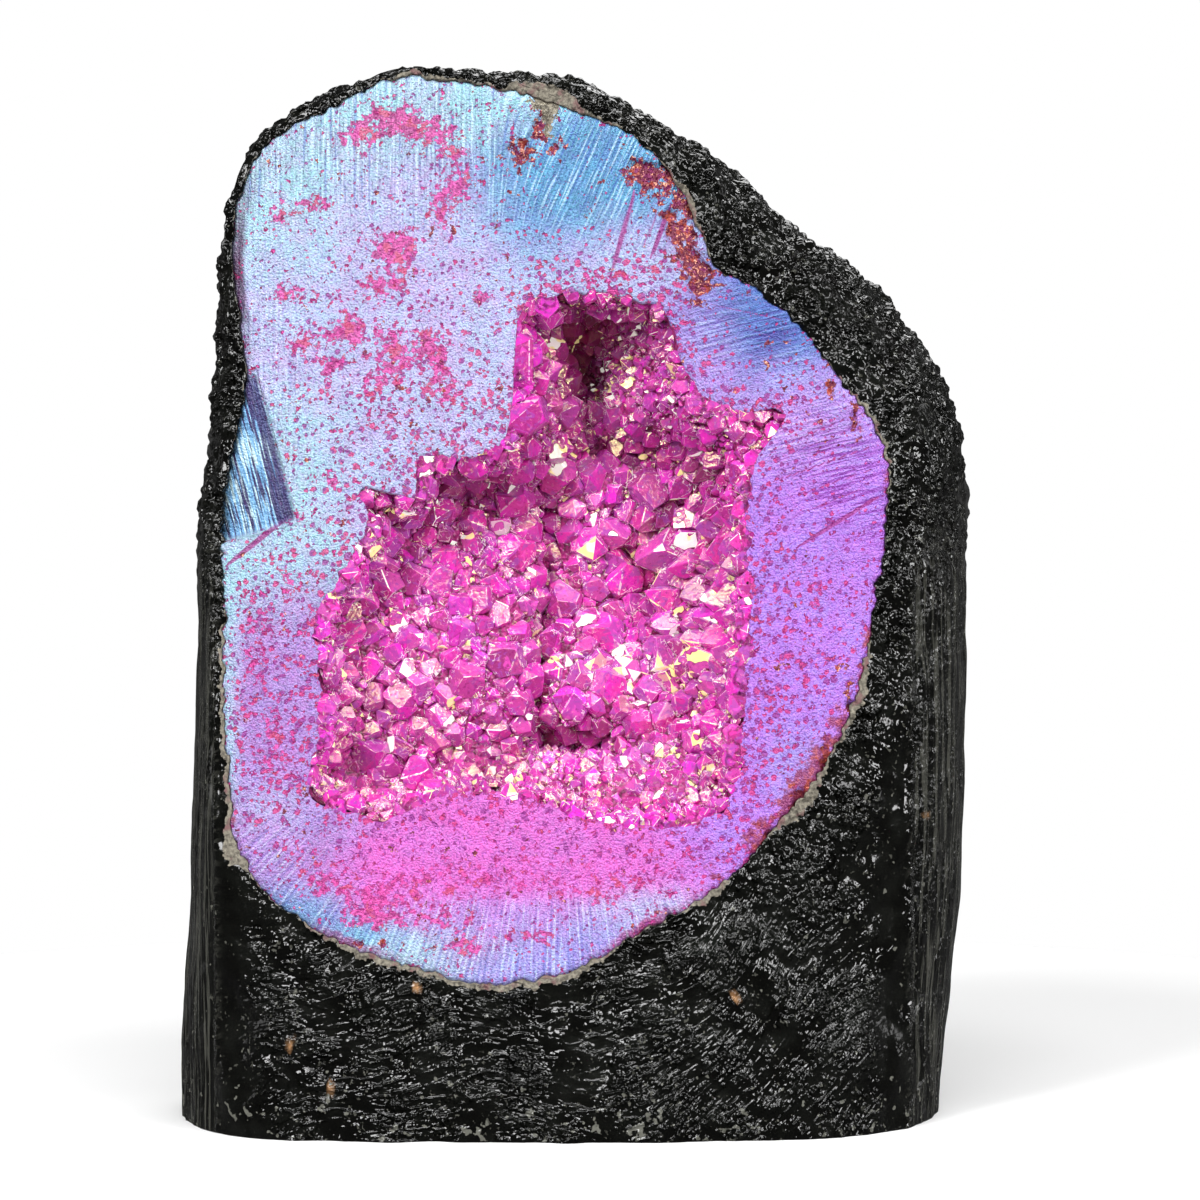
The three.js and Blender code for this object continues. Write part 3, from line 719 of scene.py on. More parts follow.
def jacket_relief(points, inset):
    """How far the cement stands off its smooth form: lumps and grit above, trowelled ripples below."""
    rippled, calm, grooved = jacket_zones(points)
    lumps = 0.6 * waves(points, 9, 11) + 0.45 * waves(points, 4.2, 12)
    grit = 0.6 * smooth(0.7 - grains(points, 2.1, 21), 0.1, 0.5) + 0.35 * waves(points, 1.7, 23)
    ripples = 0.55 * (1 - 2.6 * np.abs(waves(flow_of(points), 4.2, 32))) + 0.25 * waves(points, 2.2, 33)
    groove = 0.4 * waves(flow_of(points), 1.9, 41)
    fine = grit + (ripples - grit) * rippled
    fine = fine + (groove - fine) * grooved
    for start, end in RIDGES:
        distance, _ = nearest_on_line(points[..., 0], points[..., 2], start, end)
        fine = fine + 0.5 * np.exp(-((distance / 0.8) ** 2)) * (points[..., 1] < 0)
    foot = 1 - smooth(points[..., 2], 60, 100)
    relief = lumps * (1 - 0.1 * foot) * (1 - 0.6 * calm) * (1 - 0.7 * grooved) + fine * (1 - 0.8 * calm)
    relief = relief * (1 - 0.45 * smooth(points[..., 1], 10, 40)) - RELIEF_DROP
    return relief * smooth(inset, 0.2, 1.8)


def face_edge(directions):
    """Radius of the quartz's edge on the ground face, with its small notches."""
    around_edge = to_space(70 * np.cos(directions), 70 * np.sin(directions), 0)
    notches = np.abs(waves(around_edge, 3.4, 52, 2)) * 1.2 + 0.5 * np.abs(waves(around_edge, 1.3, 53))
    return quartz_radius(directions) + 0.25 - notches


def jacket_outside(directions):
    """The jacket's outer rings, from the quartz's edge to the back, and how far each lies from the first."""
    edge, smooth_edge = face_edge(directions), quartz_radius(directions)
    widest, deepest = jacket_radius(directions), widest_depth(directions)
    offsets = array(RIM_RINGS)[:, None]
    rim_radius = np.maximum(edge + offsets, edge + (smooth_edge + RIM_WIDTH - edge) * offsets / RIM_WIDTH)
    turn = ((np.arange(FLARE_RINGS + 1) / FLARE_RINGS) ** FLARE_CROWDING * math.pi / 2)[:, None]
    flare_radius = smooth_edge + RIM_WIDTH + (widest - smooth_edge - RIM_WIDTH) * np.sin(turn)
    across, back = round_back(BACK_RINGS)
    rear_depth = deepest + (JACKET_DEPTH - deepest) * back[:, None]
    outside = np.concatenate([
        body_grid(directions, rim_radius, RIM_DEPTH),
        body_grid(directions, flare_radius, deepest * (1 - np.cos(turn))),
        body_grid(directions, widest * across[:, None], rear_depth, back),
    ])
    outward = outside - axis_point(JACKET_DEPTH / 2, 0.5)
    outward /= np.linalg.norm(outward, axis=-1, keepdims=True)
    inset = np.linalg.norm(outside - outside[:1], axis=-1)
    straight = 1 - 0.8 * jacket_zones(outside)[2]
    outside = outside + outward * (straight * swell(outside) * smooth(inset, 1, 5))[..., None]
    outside = outside + normals_of(outside) * jacket_relief(outside, inset)[..., None]
    u, w, d = to_face(outside)
    outside = to_space(u, w, np.maximum(d, RIM_DEPTH / 2))
    below_floor = [0, 0, -99]
    return np.clip(outside, array(CAD_BOX[0]) / MM + below_floor, array(CAD_BOX[1]) / MM), inset


def make_jacket():
    directions = around(AROUND)
    outside, inset = jacket_outside(directions)
    lip = body_grid(directions, face_edge(directions) + 0.03, LIP_DEPTH)
    across, back = round_back(SOCKET_RINGS)
    socket_radius = (quartz_radius(directions) + FIT_GAP) * across[:, None]
    socket = body_grid(directions, socket_radius, (QUARTZ_DEPTH + FIT_GAP) * back[:, None], back)
    socket = socket[back * QUARTZ_DEPTH > LIP_DEPTH + 2][::-1]
    rings = np.concatenate([socket, lip, outside])
    poles = axis_point(QUARTZ_DEPTH + FIT_GAP, 1), axis_point(JACKET_DEPTH, 1)
    points = np.vstack([rings.reshape(-1, 3), *poles])
    made = make_object("jacket", points, ring_faces(len(rings), AROUND), jacket_material())

    bare = np.zeros(rings.shape[:2])
    bare[-len(outside):] = 0.5 + 0.8 * np.clip(by_degrees(BARE_WIDTHS)(directions) - 0.15 - inset, -1, 1)
    x, y, z = points.T
    fleck = np.zeros(len(points))
    for fleck_x, fleck_z, reach in FLECKS:
        distance = np.hypot(x - fleck_x, z - fleck_z)
        fleck = np.maximum(fleck, smooth(distance, reach, 0.4 * reach) * (y < 0))
    rippled, calm, grooved = jacket_zones(points)
    give(made, {
        "bare": np.append(np.clip(bare, 0, 1), [0, 0]), "fleck": fleck, "rippled": rippled, "calm": calm,
        "grooved": grooved, "low": 1 - smooth(z, 2, 14),
    })
    give(made, {"flow": flow_of(points) * MM}, "FLOAT_VECTOR")
    cut_at_base(made)
    return made


def cut_at_base(made):
    """Cuts a mesh off at the level of the floor and closes the cut."""
    shape = bmesh.new()
    shape.from_mesh(made.data)
    geometry = shape.verts[:] + shape.edges[:] + shape.faces[:]
    bmesh.ops.bisect_plane(shape, geom=geometry, plane_co=(0, 0, 0), plane_no=(0, 0, -1), clear_outer=True)
    rim = [edge for edge in shape.edges if edge.is_boundary]
    bmesh.ops.holes_fill(shape, edges=rim, sides=0)
    shape.to_mesh(made.data)
    shape.free()


# ---- The quartz wall -----------------------------------------------------------------------------

FACE_RINGS = 90
WALL_BACK_RINGS = 6
HOLLOW_RINGS = 4
FACE_BRIGHTNESS = 0.735  # of the tints, under this scene's lamps
HOLLOW_BACK = 34  # depth at which the quartz closes behind the hollow
# Worn magenta patches on the face, as (u, w, reach in u, reach in w, strength).
PATCHES = (
    (-32, 173.6, 5, 3, 0.6), (-25, 172, 5, 3.4, 0.65), (-37, 170.5, 4, 3, 0.5), (-20, 163, 3, 6, 0.5),
    (-51, 157, 3, 2.2, 0.5), (-44.6, 159, 3, 2, 0.5), (-48.4, 143.8, 3, 2, 0.62), (-40, 143, 3, 2, 0.3),
    (-29.5, 153, 5, 2, 0.7), (-31, 149.4, 4, 3, 0.7), (-23, 158, 2.4, 4, 0.6), (-33, 145, 4, 2, 0.5),
    (-38.5, 137.4, 3, 3, 0.75), (-46, 136, 4, 3, 0.5), (-30.6, 134, 4, 4.6, 0.66),
    (-24.4, 133.6, 3, 5, 0.7), (-22, 127, 3.4, 3, 0.55), (-34, 128, 4, 3, 0.45), (-41.6, 131, 3, 3, 0.5),
    (-16.4, 143, 1.8, 1.4, 0.5), (5, 146.4, 4.4, 1.6, 0.5), (12.4, 147.6, 2.6, 1.6, 0.5),
    (-3, 145, 3, 1.4, 0.35), (16.6, 150, 1.6, 2, 0.4), (-40.5, 112, 3.4, 1.6, 0.5),
    (-44, 118, 1.4, 3, 0.3), (-50, 112, 1.4, 1.4, 0.5), (-48, 106, 4, 2, 0.3), (-14, 45, 13, 4.6, 0.42),
    (-32, 43, 8, 4, 0.45), (6, 43, 9, 4, 0.36), (-24, 37.6, 8, 2, 0.45), (-44, 45, 5, 5, 0.4),
    (30, 64, 5, 6, 0.2), (-53.6, 84, 3, 8, 0.45), (-51, 66, 4, 9, 0.45), (27, 48, 6, 3, 0.3),
    (-48, 95, 3, 6, 0.35), (-6, 35, 4, 2, 0.5), (-18, 33.4, 5, 2.2, 0.62), (-34, 38.4, 4, 2.4, 0.6),
    (16, 46, 4, 2, 0.3), (40, 92, 1.6, 5, 0.3), (34, 84, 2, 5, 0.22),
)
# Rust-stained pits, in the same way.
RUST = (
    (-9.5, 167.6, 3.6, 3.0, 0.75), (-6, 172.5, 1.8, 3.8, 0.75), (-3, 168.6, 1.6, 1.2, 0.6),
    (10.4, 165, 3, 1.6, 0.62), (12.8, 163, 4, 2.6, 0.75), (17.4, 157.5, 3.4, 4.4, 0.78),
    (18.8, 150.6, 2.8, 4.2, 0.74), (20.4, 145, 2.2, 3.2, 0.74), (15, 166, 2.6, 2, 0.4),
    (20.5, 158.6, 2, 3, 0.5), (16.6, 154, 1.6, 2, 0.5), (21.6, 147, 1.6, 2.4, 0.5),
    (36.5, 134.2, 1.2, 2.6, 0.5), (42.6, 127.6, 1.4, 3, 0.6), (46.8, 121.6, 1.0, 4.4, 0.55),
    (37.6, 57.4, 2, 3.4, 0.75), (33.4, 52, 2.2, 2.2, 0.6), (-57, 52, 1.4, 2.6, 0.5), (41.6, 63, 1.4, 5, 0.7),
    (-36, 33.6, 6, 1.2, 0.4), (46, 74, 1.2, 5, 0.4),
)
# Cement showing in notches of the edge, rusty stains beside it, and its plum and wine-red stretches.
CEMENT = (
    (-5.4, 177.2, 3.0, 3.2, 0.9), (-4.6, 172.6, 1.6, 3, 0.6), (19.6, 164.4, 2.6, 2.2, 0.8),
    (24, 158, 1.5, 2.5, 0.6),
)
STAINS = (
    (51, 86, 2.6, 7, 0.7), (49, 77, 3, 6, 0.8), (45.4, 69, 4.2, 5, 0.85), (41, 62.6, 4.4, 4.4, 0.95),
    (36, 56.4, 4, 4, 0.9), (31, 51.4, 3.6, 3, 0.8), (24, 45.6, 4, 2, 0.5), (52.5, 112, 1.3, 6, 0.5),
    (47, 122, 1.5, 4, 0.4), (-58, 54, 1.6, 4, 0.5),
)
PLUM_EDGE = ((-57, 148, 2.4, 15, 1.0),)
WINE_EDGE = ((12, 36, 8, 6, 1.0), (-38, 34, 10, 3, 0.8))
# Where the saw's lines show: upright, in a fan to the right, and round the foot; and where they are bruised.
UPRIGHT_LINES = ((2, 162, 11, 10, 0.5), (-52, 125, 8, 30, 0.5))
FAN_LINES = ((30, 138, 10, 6, 1.2), (42, 118, 9, 6, 1.0))
FOOT_LINES = ((-50, 48, 7, 8, 0.6),)
BRUISED_LINES = (
    (44.6, 113.6, 7, 9, 1.3), (31, 138, 8, 5, 0.8), (50, 104, 3, 8, 0.6), (15, 156, 3, 7, 0.5),
)
FAN_RISE = math.radians(14)
LINE_STRETCH = 0.06  # of the saw's lines, along them
# Where the pits are more, or less, crowded than usual.
USUAL_CROWD = 0.30
PIT_CROWDS = (
    (-55, 75, 7, 22, 0.3), (38, 80, 14, 30, 0.12), (-20, 44, 26, 9, -0.2), (-30, 128, 20, 22, 0.22),
    (2, 140, 12, 8, 0.2), (2, 163, 12, 10, -0.28), (-50, 160, 9, 12, -0.12), (31, 138, 8, 6, -0.25),
)
# Straight cracks and scratches, as (start, end, width, strength).
STREAKS = (
    ((-58.8, 97.4), (-48, 106.2), 0.8, 1.0), ((37, 100.4), (51.6, 109.6), 0.6, 1.0),
    ((10, 161.5), (5.7, 146.5), 0.9, 0.75), ((16, 159), (12.6, 149.8), 0.9, 0.75),
    ((14, 158), (11.4, 152), 0.6, 0.6), ((-22, 119), (-10.6, 127), 0.4, 0.7),
    ((31, 114.6), (47, 120.6), 0.3, 0.6), ((34, 117.4), (46, 122.6), 0.3, 0.7),
    ((33, 111.6), (49.6, 117.6), 0.35, 0.8), ((36, 109), (50.6, 114), 0.3, 0.7),
    ((38, 106.4), (51, 111.6), 0.25, 0.6), ((34, 104.6), (44, 108.6), 0.25, 0.5),
    ((40, 97.6), (51.4, 104.6), 0.25, 0.6), ((30, 121), (42, 125), 0.25, 0.5),
    ((22, 142), (36, 139), 0.35, 0.6), ((23, 139.6), (33, 136.4), 0.3, 0.5),
    ((26, 144), (34, 142.4), 0.3, 0.5), ((27, 134), (37, 131), 0.3, 0.5),
    ((-44.5, 170), (-36, 163), 0.22, 0.5), ((-52, 168), (-45, 162), 0.2, 0.45),
    ((-25, 168), (-21, 176), 0.2, 0.4), ((-36, 158), (-24, 154), 0.25, 0.45),
    ((-3, 152), (6, 153.4), 0.3, 0.5), ((-31, 146), (-24, 141), 0.25, 0.5),
)


def nearest_on_line(u, w, start, end):
    """Distance from a straight stroke, and how far along it the nearest place is, from 0 to 1."""
    start, end = array(start), array(end)
    along = end - start
    share = ((u - start[0]) * along[0] + (w - start[1]) * along[1]) / (along @ along)
    share = np.clip(share, 0, 1)
    return np.hypot(u - start[0] - share * along[0], w - start[1] - share * along[1]), share


def streaks(u, w):
    """Strength of the cracks and scratches, which thin out towards their ends."""
    total = np.zeros_like(u)
    for start, end, width, strength in STREAKS:
        distance, along = nearest_on_line(u, w, start, end)
        taper = np.sin(math.pi * np.clip(along, 0.02, 0.98)) ** 0.4
        total = np.maximum(total, strength * smooth(distance, width * taper, 0.15 * width))
    return total


def facet_depth(u, w):
    """Depth of the broken facet, which falls away to the left of its inner edge, and where it is."""
    along = array(FACET_FOOT) - FACET_TOP
    length = np.linalg.norm(along)
    along /= length
    out_u, out_w = u - FACET_TOP[0], w - FACET_TOP[1]
    down, left = out_u * along[0] + out_w * along[1], out_u * along[1] - out_w * along[0]
    within = smooth(down, -1.5, 0.5) * (1 - smooth(down, length - 1, length + 0.5))
    return np.maximum(left, 0) * math.tan(FACET_SLOPE) * within, within * (left > 0)


def face_depth(u, w, from_edge, from_rim, rust, streak):
    """How far the ground face is broken back: rusty pits, the facet, chipped edges, the bevel and cracks."""
    flat = to_space(u, w, 0)
    broken_depth, broken = facet_depth(u, w)
    chip = 0.5 + 0.5 * waves(flat, 1.6, 64, 2)
    depth = 0.9 * smooth(rust, 0.42, 0.7) * (0.6 + 0.8 * chip)
    depth = depth + broken_depth + 0.35 * broken * np.abs(waves(flat, 1.8, 65))
    depth = depth + np.exp(-from_edge / 0.45) * (0.25 + 0.5 * chip)
    depth = depth + np.exp(-from_rim / 0.5) * (0.1 + 0.35 * chip)
    depth = depth + 0.8 * humps(u, w, PLUM_EDGE) * smooth(3.2 - from_edge, 0, 2.5)
    return np.maximum(depth + 0.14 * streak + 0.03 * waves(flat, 0.9, 66), 0)


def face_tint_and_reflection(u, w, from_edge):
    weights = [influence(u, w, area) + 1e-5 for area in FACE_TINTS_AND_REFLECTION]
    tint = sum(weight[..., None] * array(area[4]) for weight, area in zip(weights, FACE_TINTS_AND_REFLECTION))
    tint = FACE_BRIGHTNESS * tint / sum(weights)[..., None]
    plum = humps(u, w, PLUM_EDGE) * smooth(3.8 - from_edge, 0, 1.4)
    wine = np.minimum(humps(u, w, WINE_EDGE) * smooth(1.7 - from_edge, 0, 0.6), 1)
    tint = tint + (array(PLUM) - tint) * 0.9 * plum[..., None]
    return tint + (FACE_BRIGHTNESS * array(WINE) - tint) * 0.9 * wine[..., None]


def face_grain(u, w, broken):
    """How strongly the saw's lines show, and places across and along them."""
    upright = 0.9 * smooth(w, 149, 168) + humps(u, w, UPRIGHT_LINES)
    fan = humps(u, w, FAN_LINES)
    foot = 0.7 * smooth(46 - w, 0, 10) + humps(u, w, FOOT_LINES)
    cos, sin = math.cos(FAN_RISE), math.sin(FAN_RISE)
    out_u, out_w = u - FACE_CENTRE[0], w - FACE_CENTRE[1]
    is_fan = (fan > upright) & (fan > foot)
    is_foot = (foot > upright) & (foot > fan)
    leaning = u - 0.45 * (w - 165) * smooth(u, -16, -4)
    across = np.where(is_fan, w * cos - u * sin, np.where(is_foot, np.arctan2(out_w, out_u) * 60, leaning))
    along = np.where(is_fan, u * cos + w * sin, np.where(is_foot, np.hypot(out_u, out_w), w))
    across = np.where(broken, u + 0.27 * w, across)
    return np.clip(upright + fan + foot, 0, 1), np.stack([across, along * LINE_STRETCH, 0 * u], -1)


def make_wall():
    directions = around(AROUND)
    around_rim = to_space(*polar((0, 0), 40, directions), 0)
    inner = hollow_radius(directions) + 0.9 * waves(around_rim, 3.2, 51, 2) + 0.5 * waves(around_rim, 1.1, 54)
    from_u, from_w = polar(HOLLOW_CENTRE, inner, directions)
    to_u, to_w = polar(FACE_CENTRE, face_edge(directions), directions)
    share = np.linspace(0, 1, FACE_RINGS)[:, None]
    u, w = from_u + (to_u - from_u) * share, from_w + (to_w - from_w) * share
    from_edge, from_rim = np.hypot(u - to_u, w - to_w), np.hypot(u - from_u, w - from_w)
    rust = 0.35 * waves(to_space(u, w, 0), 2.2, 62, 2) + humps(u, w, RUST)
    streak = streaks(u, w)
    face = to_space(u, w, face_depth(u, w, from_edge, from_rim, rust, streak))

    shrink = array([0.7, 0.35, 0])[:, None]
    bottom_u = from_u + (HOLLOW_CENTRE[0] - from_u) * shrink
    bottom_w = from_w + (HOLLOW_CENTRE[1] - from_w) * shrink
    fall = np.linspace(1, 0.25, HOLLOW_RINGS)[:, None]
    hollow_depth = np.maximum(floor_depth(*polar(HOLLOW_CENTRE, 0.93 * inner, directions)), 6)
    across, back = round_back(WALL_BACK_RINGS)
    rear_radius = (quartz_radius(directions) - 0.1) * across[:, None]
    rear = body_grid(directions, rear_radius, QUARTZ_DEPTH * back[:, None], back)
    inside = [to_space(bottom_u, bottom_w, HOLLOW_BACK), to_space(from_u, from_w, hollow_depth * fall + 0.4)]
    rings = np.concatenate([*inside, face, rear])
    poles = to_space(*HOLLOW_CENTRE, HOLLOW_BACK), axis_point(QUARTZ_DEPTH, 1)
    points = np.vstack([rings.reshape(-1, 3), *poles])
    made = make_object("ground_quartz", points, ring_faces(len(rings), AROUND), face_material())

    def over_face(values, elsewhere=0.0):
        """Values on the face's rings, as values on all the mesh's points."""
        beyond = values.shape[2:]
        spread = np.full(rings.shape[:2] + beyond, elsewhere)
        spread[sum(map(len, inside)):][:FACE_RINGS] = values
        return np.concatenate([spread.reshape(-1, *beyond), np.full((len(poles), *beyond), elsewhere)])

    broken_depth, broken = facet_depth(u, w)
    lined, grain = face_grain(u, w, broken)
    wear = humps(u, w, PATCHES) + 0.3 * np.exp(-from_rim / 1.6) + 0.2 * np.exp(-from_edge / 0.9)
    crowd = USUAL_CROWD + 0.55 * np.exp(-from_rim / 7) + humps(u, w, PIT_CROWDS)
    areas = {"stain": STAINS, "cement": CEMENT, "striped": BRUISED_LINES}
    shares = {"rust": rust} | {name: humps(u, w, area) for name, area in areas.items()}
    give(made, {name: over_face(np.clip(values, 0, 1)) for name, values in shares.items()})
    give(made, {
        "wedge": over_face(smooth(nearest_on_line(u, w, FACET_TOP, FACET_FOOT)[0], 5.5, 1.0)),
        "broken": over_face(broken * smooth(broken_depth, 0.0, 0.1)),
        "pits": over_face(np.clip(crowd, 0.02, 0.95)),
        "wear": over_face(wear, 0.9),
        "streak": over_face(streak),
        "lined": over_face(lined),
    })
    tint = over_face(face_tint_and_reflection(u, w, from_edge), 0.3)
    give(made, {"tint": np.column_stack([tint, np.ones(len(tint))])}, "FLOAT_COLOR")
    give(made, {"grain": over_face(grain * MM)}, "FLOAT_VECTOR")
    return made


# ---- The crust -----------------------------------------------------------------------------------

CRUST_FRONT = 0.15  # depth at which the points are cut off flush with the face
CRUST_PARTS = (
    ("chimney_points", lambda u, w: w > 117),
    ("left_points", lambda u, w: u < -5.5 and w > 68),
    ("right_points", lambda u, w: u >= -5.5 and w > 74),
    ("lower_points", lambda u, w: True),
)
# Points that stand out by size, as (u, w, width across).
LARGE_POINTS = (
    (-12, 132, 7.5), (-12, 138.6, 5.5), (-9, 123, 7.5), (12.5, 113.5, 6.5), (5, 106.5, 5.5),
    (17.5, 103.5, 6.5), (-1.5, 93.5, 5.5), (7.5, 96.6, 6), (4.6, 88, 5.5), (17.8, 93, 6.5),
    (14.3, 84, 6), (22.5, 82, 6), (5.2, 78.6, 6), (-20, 87.6, 5.5),
    (-19.2, 79.4, 6), (-12.3, 83, 5.5), (-23.6, 95.8, 5.5), (-11.2, 101.8, 6),
    (-24.8, 108.6, 5.5), (-10.6, 111, 6), (-35, 66.4, 5.5), (-27.4, 62, 6), (-30, 76, 5.5), (-33, 96, 5.5),
)
USUAL_WIDTH = 4.3
# Where the points are of another width: (u, w, reach in u, reach in w, width).
WIDTH_AREAS = (
    (9, 134, 8, 8, 1.5), (12, 59, 18, 6, 2.6), (27, 118, 7, 8, 2.4), (-2, 62, 10, 5, 1.8),
    (-38, 64, 5, 10, 2.6), (18, 127, 5, 5, 2.2), (-16, 64, 5, 6, 1.9),
)
# Where more of the points' faces are painted as glints: (u, w, reach in u, reach in w, how many more).
PAINTED_GLINT_AREAS = (
    (3, 104.5, 2.6, 4.6, 0.8), (17.5, 103, 3, 4.4, 1.6), (8, 82, 10, 2.6, 2.2), (20.5, 80.4, 5, 3, 2.4),
    (8.6, 116, 3, 2, 1.0), (10, 132, 4, 6, 0.7), (21, 94, 3, 7, 0.5), (-20, 96, 3, 2, 0.5),
    (-22, 75, 2.4, 3, 0.5), (-30, 61, 3, 4, 0.5), (-13, 66, 4, 4, 0.6), (16, 66, 6, 2.4, 0.6),
    (-42, 78, 3, 8, 0.3),
)
# Shallow shelves of the crust, as (u, w, reach in u, reach in w, share of the depth taken away).
SHELVES = (
    (-9, 131, 6.5, 9, 0.8), (-9, 120, 6, 5, 0.62), (19, 131, 3.5, 9, 0.5), (29, 119, 7.5, 7.5, 0.8),
    (22, 126, 5, 5, 0.7), (12, 130, 5, 6, 0.38),
)
# Furrows between mounds of points, as (start, end, reach, added depth).
FURROWS = (
    ((-5.4, 112), (-5.4, 92), 1.5, 7), ((-5.4, 92), (-7, 70), 1.5, 6), ((-7, 70), (6, 70.5), 2.0, 5),
    ((16, 122.5), (28.4, 108.8), 1.3, 3.5), ((-26, 113.5), (-9, 113.5), 1.5, 2),
)
# Where the crust is painted darker as shade in its recesses, furrows and chimney, as (u, w, reach in u, reach
# in w, darkness).
PAINTED_SHADE_AREAS = (
    (-1, 134.5, 5, 8, 1.1), (4, 141, 8, 2.2, 0.6), (6, 120.5, 12, 4.5, 0.8), (-16, 113.5, 9, 3.4, 0.7),
    (-15, 64, 4.5, 6, 0.7), (0, 70.5, 7, 2.6, 1.15), (-36, 66, 6, 7, 0.4), (-5.4, 103, 2.0, 11, 0.95),
    (-6.2, 82, 2.0, 12, 0.85), (22.4, 115.5, 2.6, 3.5, 0.6), (8, 139, 8, 2.5, 0.4),
)
# Where points lie over, as (u, w, reach in u, reach in w, lean in u, lean in w, stretch).
LEANS = (
    (21, 96, 9, 17, -0.9, -0.35, 0.55), (-36, 90, 6, 18, 0.35, 0.0, 0.1), (10, 110, 10, 6, 0.0, -0.5, 0.2),
)
CAP_SLOPE = math.radians(49)  # between a point's axis and the square to a cap face
CHAMFER = 0.014  # of a point's edges, as a share of its radius
SHAPES = 60  # different points, which stand turned and stretched in different ways
FOOT_PLANE = 12  # the last of a point's planes: six sides, six cap faces and the foot
MOST_PLANES = 64  # over the number of planes, chamfers included, that any point has
SEED = 4021
LINING_CORNERS = 150  # in each ring of the crust's base
POINT_LEAN = 0.24
POINT_PROPORTIONS = (0.7, 0.7, 0.6)  # across, across and along, as shares of the width
# Passes of placing: (narrowest, widest, tries, crowding), widths as shares of the usual one here.
PASSES = (
    (0.85, 1.25, 7000, 0.35), (0.5, 0.8, 8000, 0.35), (0.3, 0.5, 9000, 0.33),
)
RIM_POINTS = 420  # points along the rim of the hollow, cut off flush with the face
SEAM_POINTS = 2400  # small points in the seams between the others
SEAM_SPACING = 0.6
PLACING_CELL = 3.0  # size of the cells by which near neighbours are found
# Longest edge of a point's triangles as a share of its radius, for points at least so wide.
FINENESS = ((3.0, 0.45), (2.0, 0.7), (0.0, 9.0))
HIDDEN = 0.12  # how deep inside a neighbour a triangle is before it is left out


def crust_depth(u, w):
    """Depth of the surface that the points stand on, with its shelves and furrows."""
    shelf = np.clip(humps(u, w, SHELVES), 0, 0.85)
    depth = floor_depth(u, w)
    added = 0
    for start, end, reach, furrow in FURROWS:
        distance, _ = nearest_on_line(u, w, start, end)
        added = added + furrow * np.exp(-((distance / reach) ** 2))
    return depth * (1 - shelf) + added * np.clip(depth / 8, 0, 1) * (1 - shelf)


def local_width(u, w):
    weights = [2.5 * influence(u, w, area) for area in WIDTH_AREAS]
    total = USUAL_WIDTH + sum(weight * area[4] for weight, area in zip(weights, WIDTH_AREAS))
    return total / (1 + sum(weights))


def point_places(random):
    """Where the quartz points stand, the widest first: rows of (u, w, width)."""
    places, spots, cells = [], [], {}

    def cell_of(spot):
        return tuple(np.floor(spot / PLACING_CELL).astype(int))

    def add(u, w, width, spot):
        cells.setdefault(cell_of(spot), []).append(len(spots))
        spots.append(spot)
        places.append((u, w, width))

    def is_clear(spot, width, crowding):
        steps = math.ceil(crowding * (width + 8) / PLACING_CELL)
        i, j, k = cell_of(spot)
        for di, dj, dk in product(range(-steps, steps + 1), repeat=3):
            for other in cells.get((i + di, j + dj, k + dk), ()):
                gap = spots[other] - spot
                if gap @ gap < (crowding * (width + places[other][2])) ** 2:
                    return False
        return True

    for u, w, width in LARGE_POINTS:
        add(u, w, width, np.array([u, w, crust_depth(u, w)]))
    for low, high, tries, crowding in PASSES:
        direction = random.uniform(0, TURN, tries)
        radius = hollow_radius(direction) * np.minimum(np.sqrt(random.uniform(0, 1.0, tries)), 0.99)
        us, ws = polar(HOLLOW_CENTRE, radius, direction)
        widths = local_width(us, ws) * random.uniform(low, high, tries)
        for u, w, width, depth in zip(us, ws, widths, crust_depth(us, ws)):
            spot = np.array([u, w, depth])
            if is_clear(spot, width, crowding):
                add(u, w, width, spot)
    return array(places)


def half_space_body(normals, offsets):
    """Corners and faces of the body within planes, each face anticlockwise from outside, and their planes."""
    triples = np.array(list(combinations(range(len(normals)), 3)))
    matrices = normals[triples]
    solvable = np.abs(np.linalg.det(matrices)) > 1e-6
    triples, matrices = triples[solvable], matrices[solvable]
    corners = np.linalg.solve(matrices, offsets[triples][..., None])[..., 0]
    inside = (corners @ normals.T <= offsets + 1e-6).all(1)
    triples, corners = triples[inside], corners[inside]
    unique, where = [], []
    for corner in corners:
        match = next((i for i, known in enumerate(unique) if np.abs(known - corner).max() < 1e-5), None)
        if match is None:
            match = len(unique)
            unique.append(corner)
        where.append(match)
    unique = array(unique)
    faces, planes = [], []
    for plane, normal in enumerate(normals):
        members = sorted({where[i] for i, triple in enumerate(triples) if plane in triple})
        if len(members) < 3:
            continue
        ring = unique[members]
        side = np.cross(normal, [0.31, 0.53, 0.79])
        side /= np.linalg.norm(side)
        up = np.cross(normal, side)
        offset = ring - ring.mean(0)
        order = np.argsort(np.arctan2(offset @ up, offset @ side))
        faces.append([members[i] for i in order])
        planes.append(plane)
    return unique, faces, planes


def refined(corners, faces, planes, longest):
    """The body's mesh in triangles with no edge over longest, without its foot."""
    shape = bmesh.new()
    made = [shape.verts.new(corner) for corner in corners]
    for face, plane in zip(faces, planes):
        if plane != FOOT_PLANE:
            shape.faces.new([made[i] for i in face]).material_index = plane
    bmesh.ops.triangulate(shape, faces=shape.faces[:])
    for _ in range(6):
        long_edges = [edge for edge in shape.edges if edge.calc_length() > longest]
        if not long_edges:
            break
        bmesh.ops.subdivide_edges(shape, edges=long_edges, cuts=1)
        bmesh.ops.triangulate(shape, faces=shape.faces[:])
    shape.verts.index_update()
    points = array([vertex.co[:] for vertex in shape.verts])
    triangles = np.array([[vertex.index for vertex in face.verts] for face in shape.faces])
    plane = np.array([face.material_index for face in shape.faces])
    shape.free()
    return points, triangles, plane


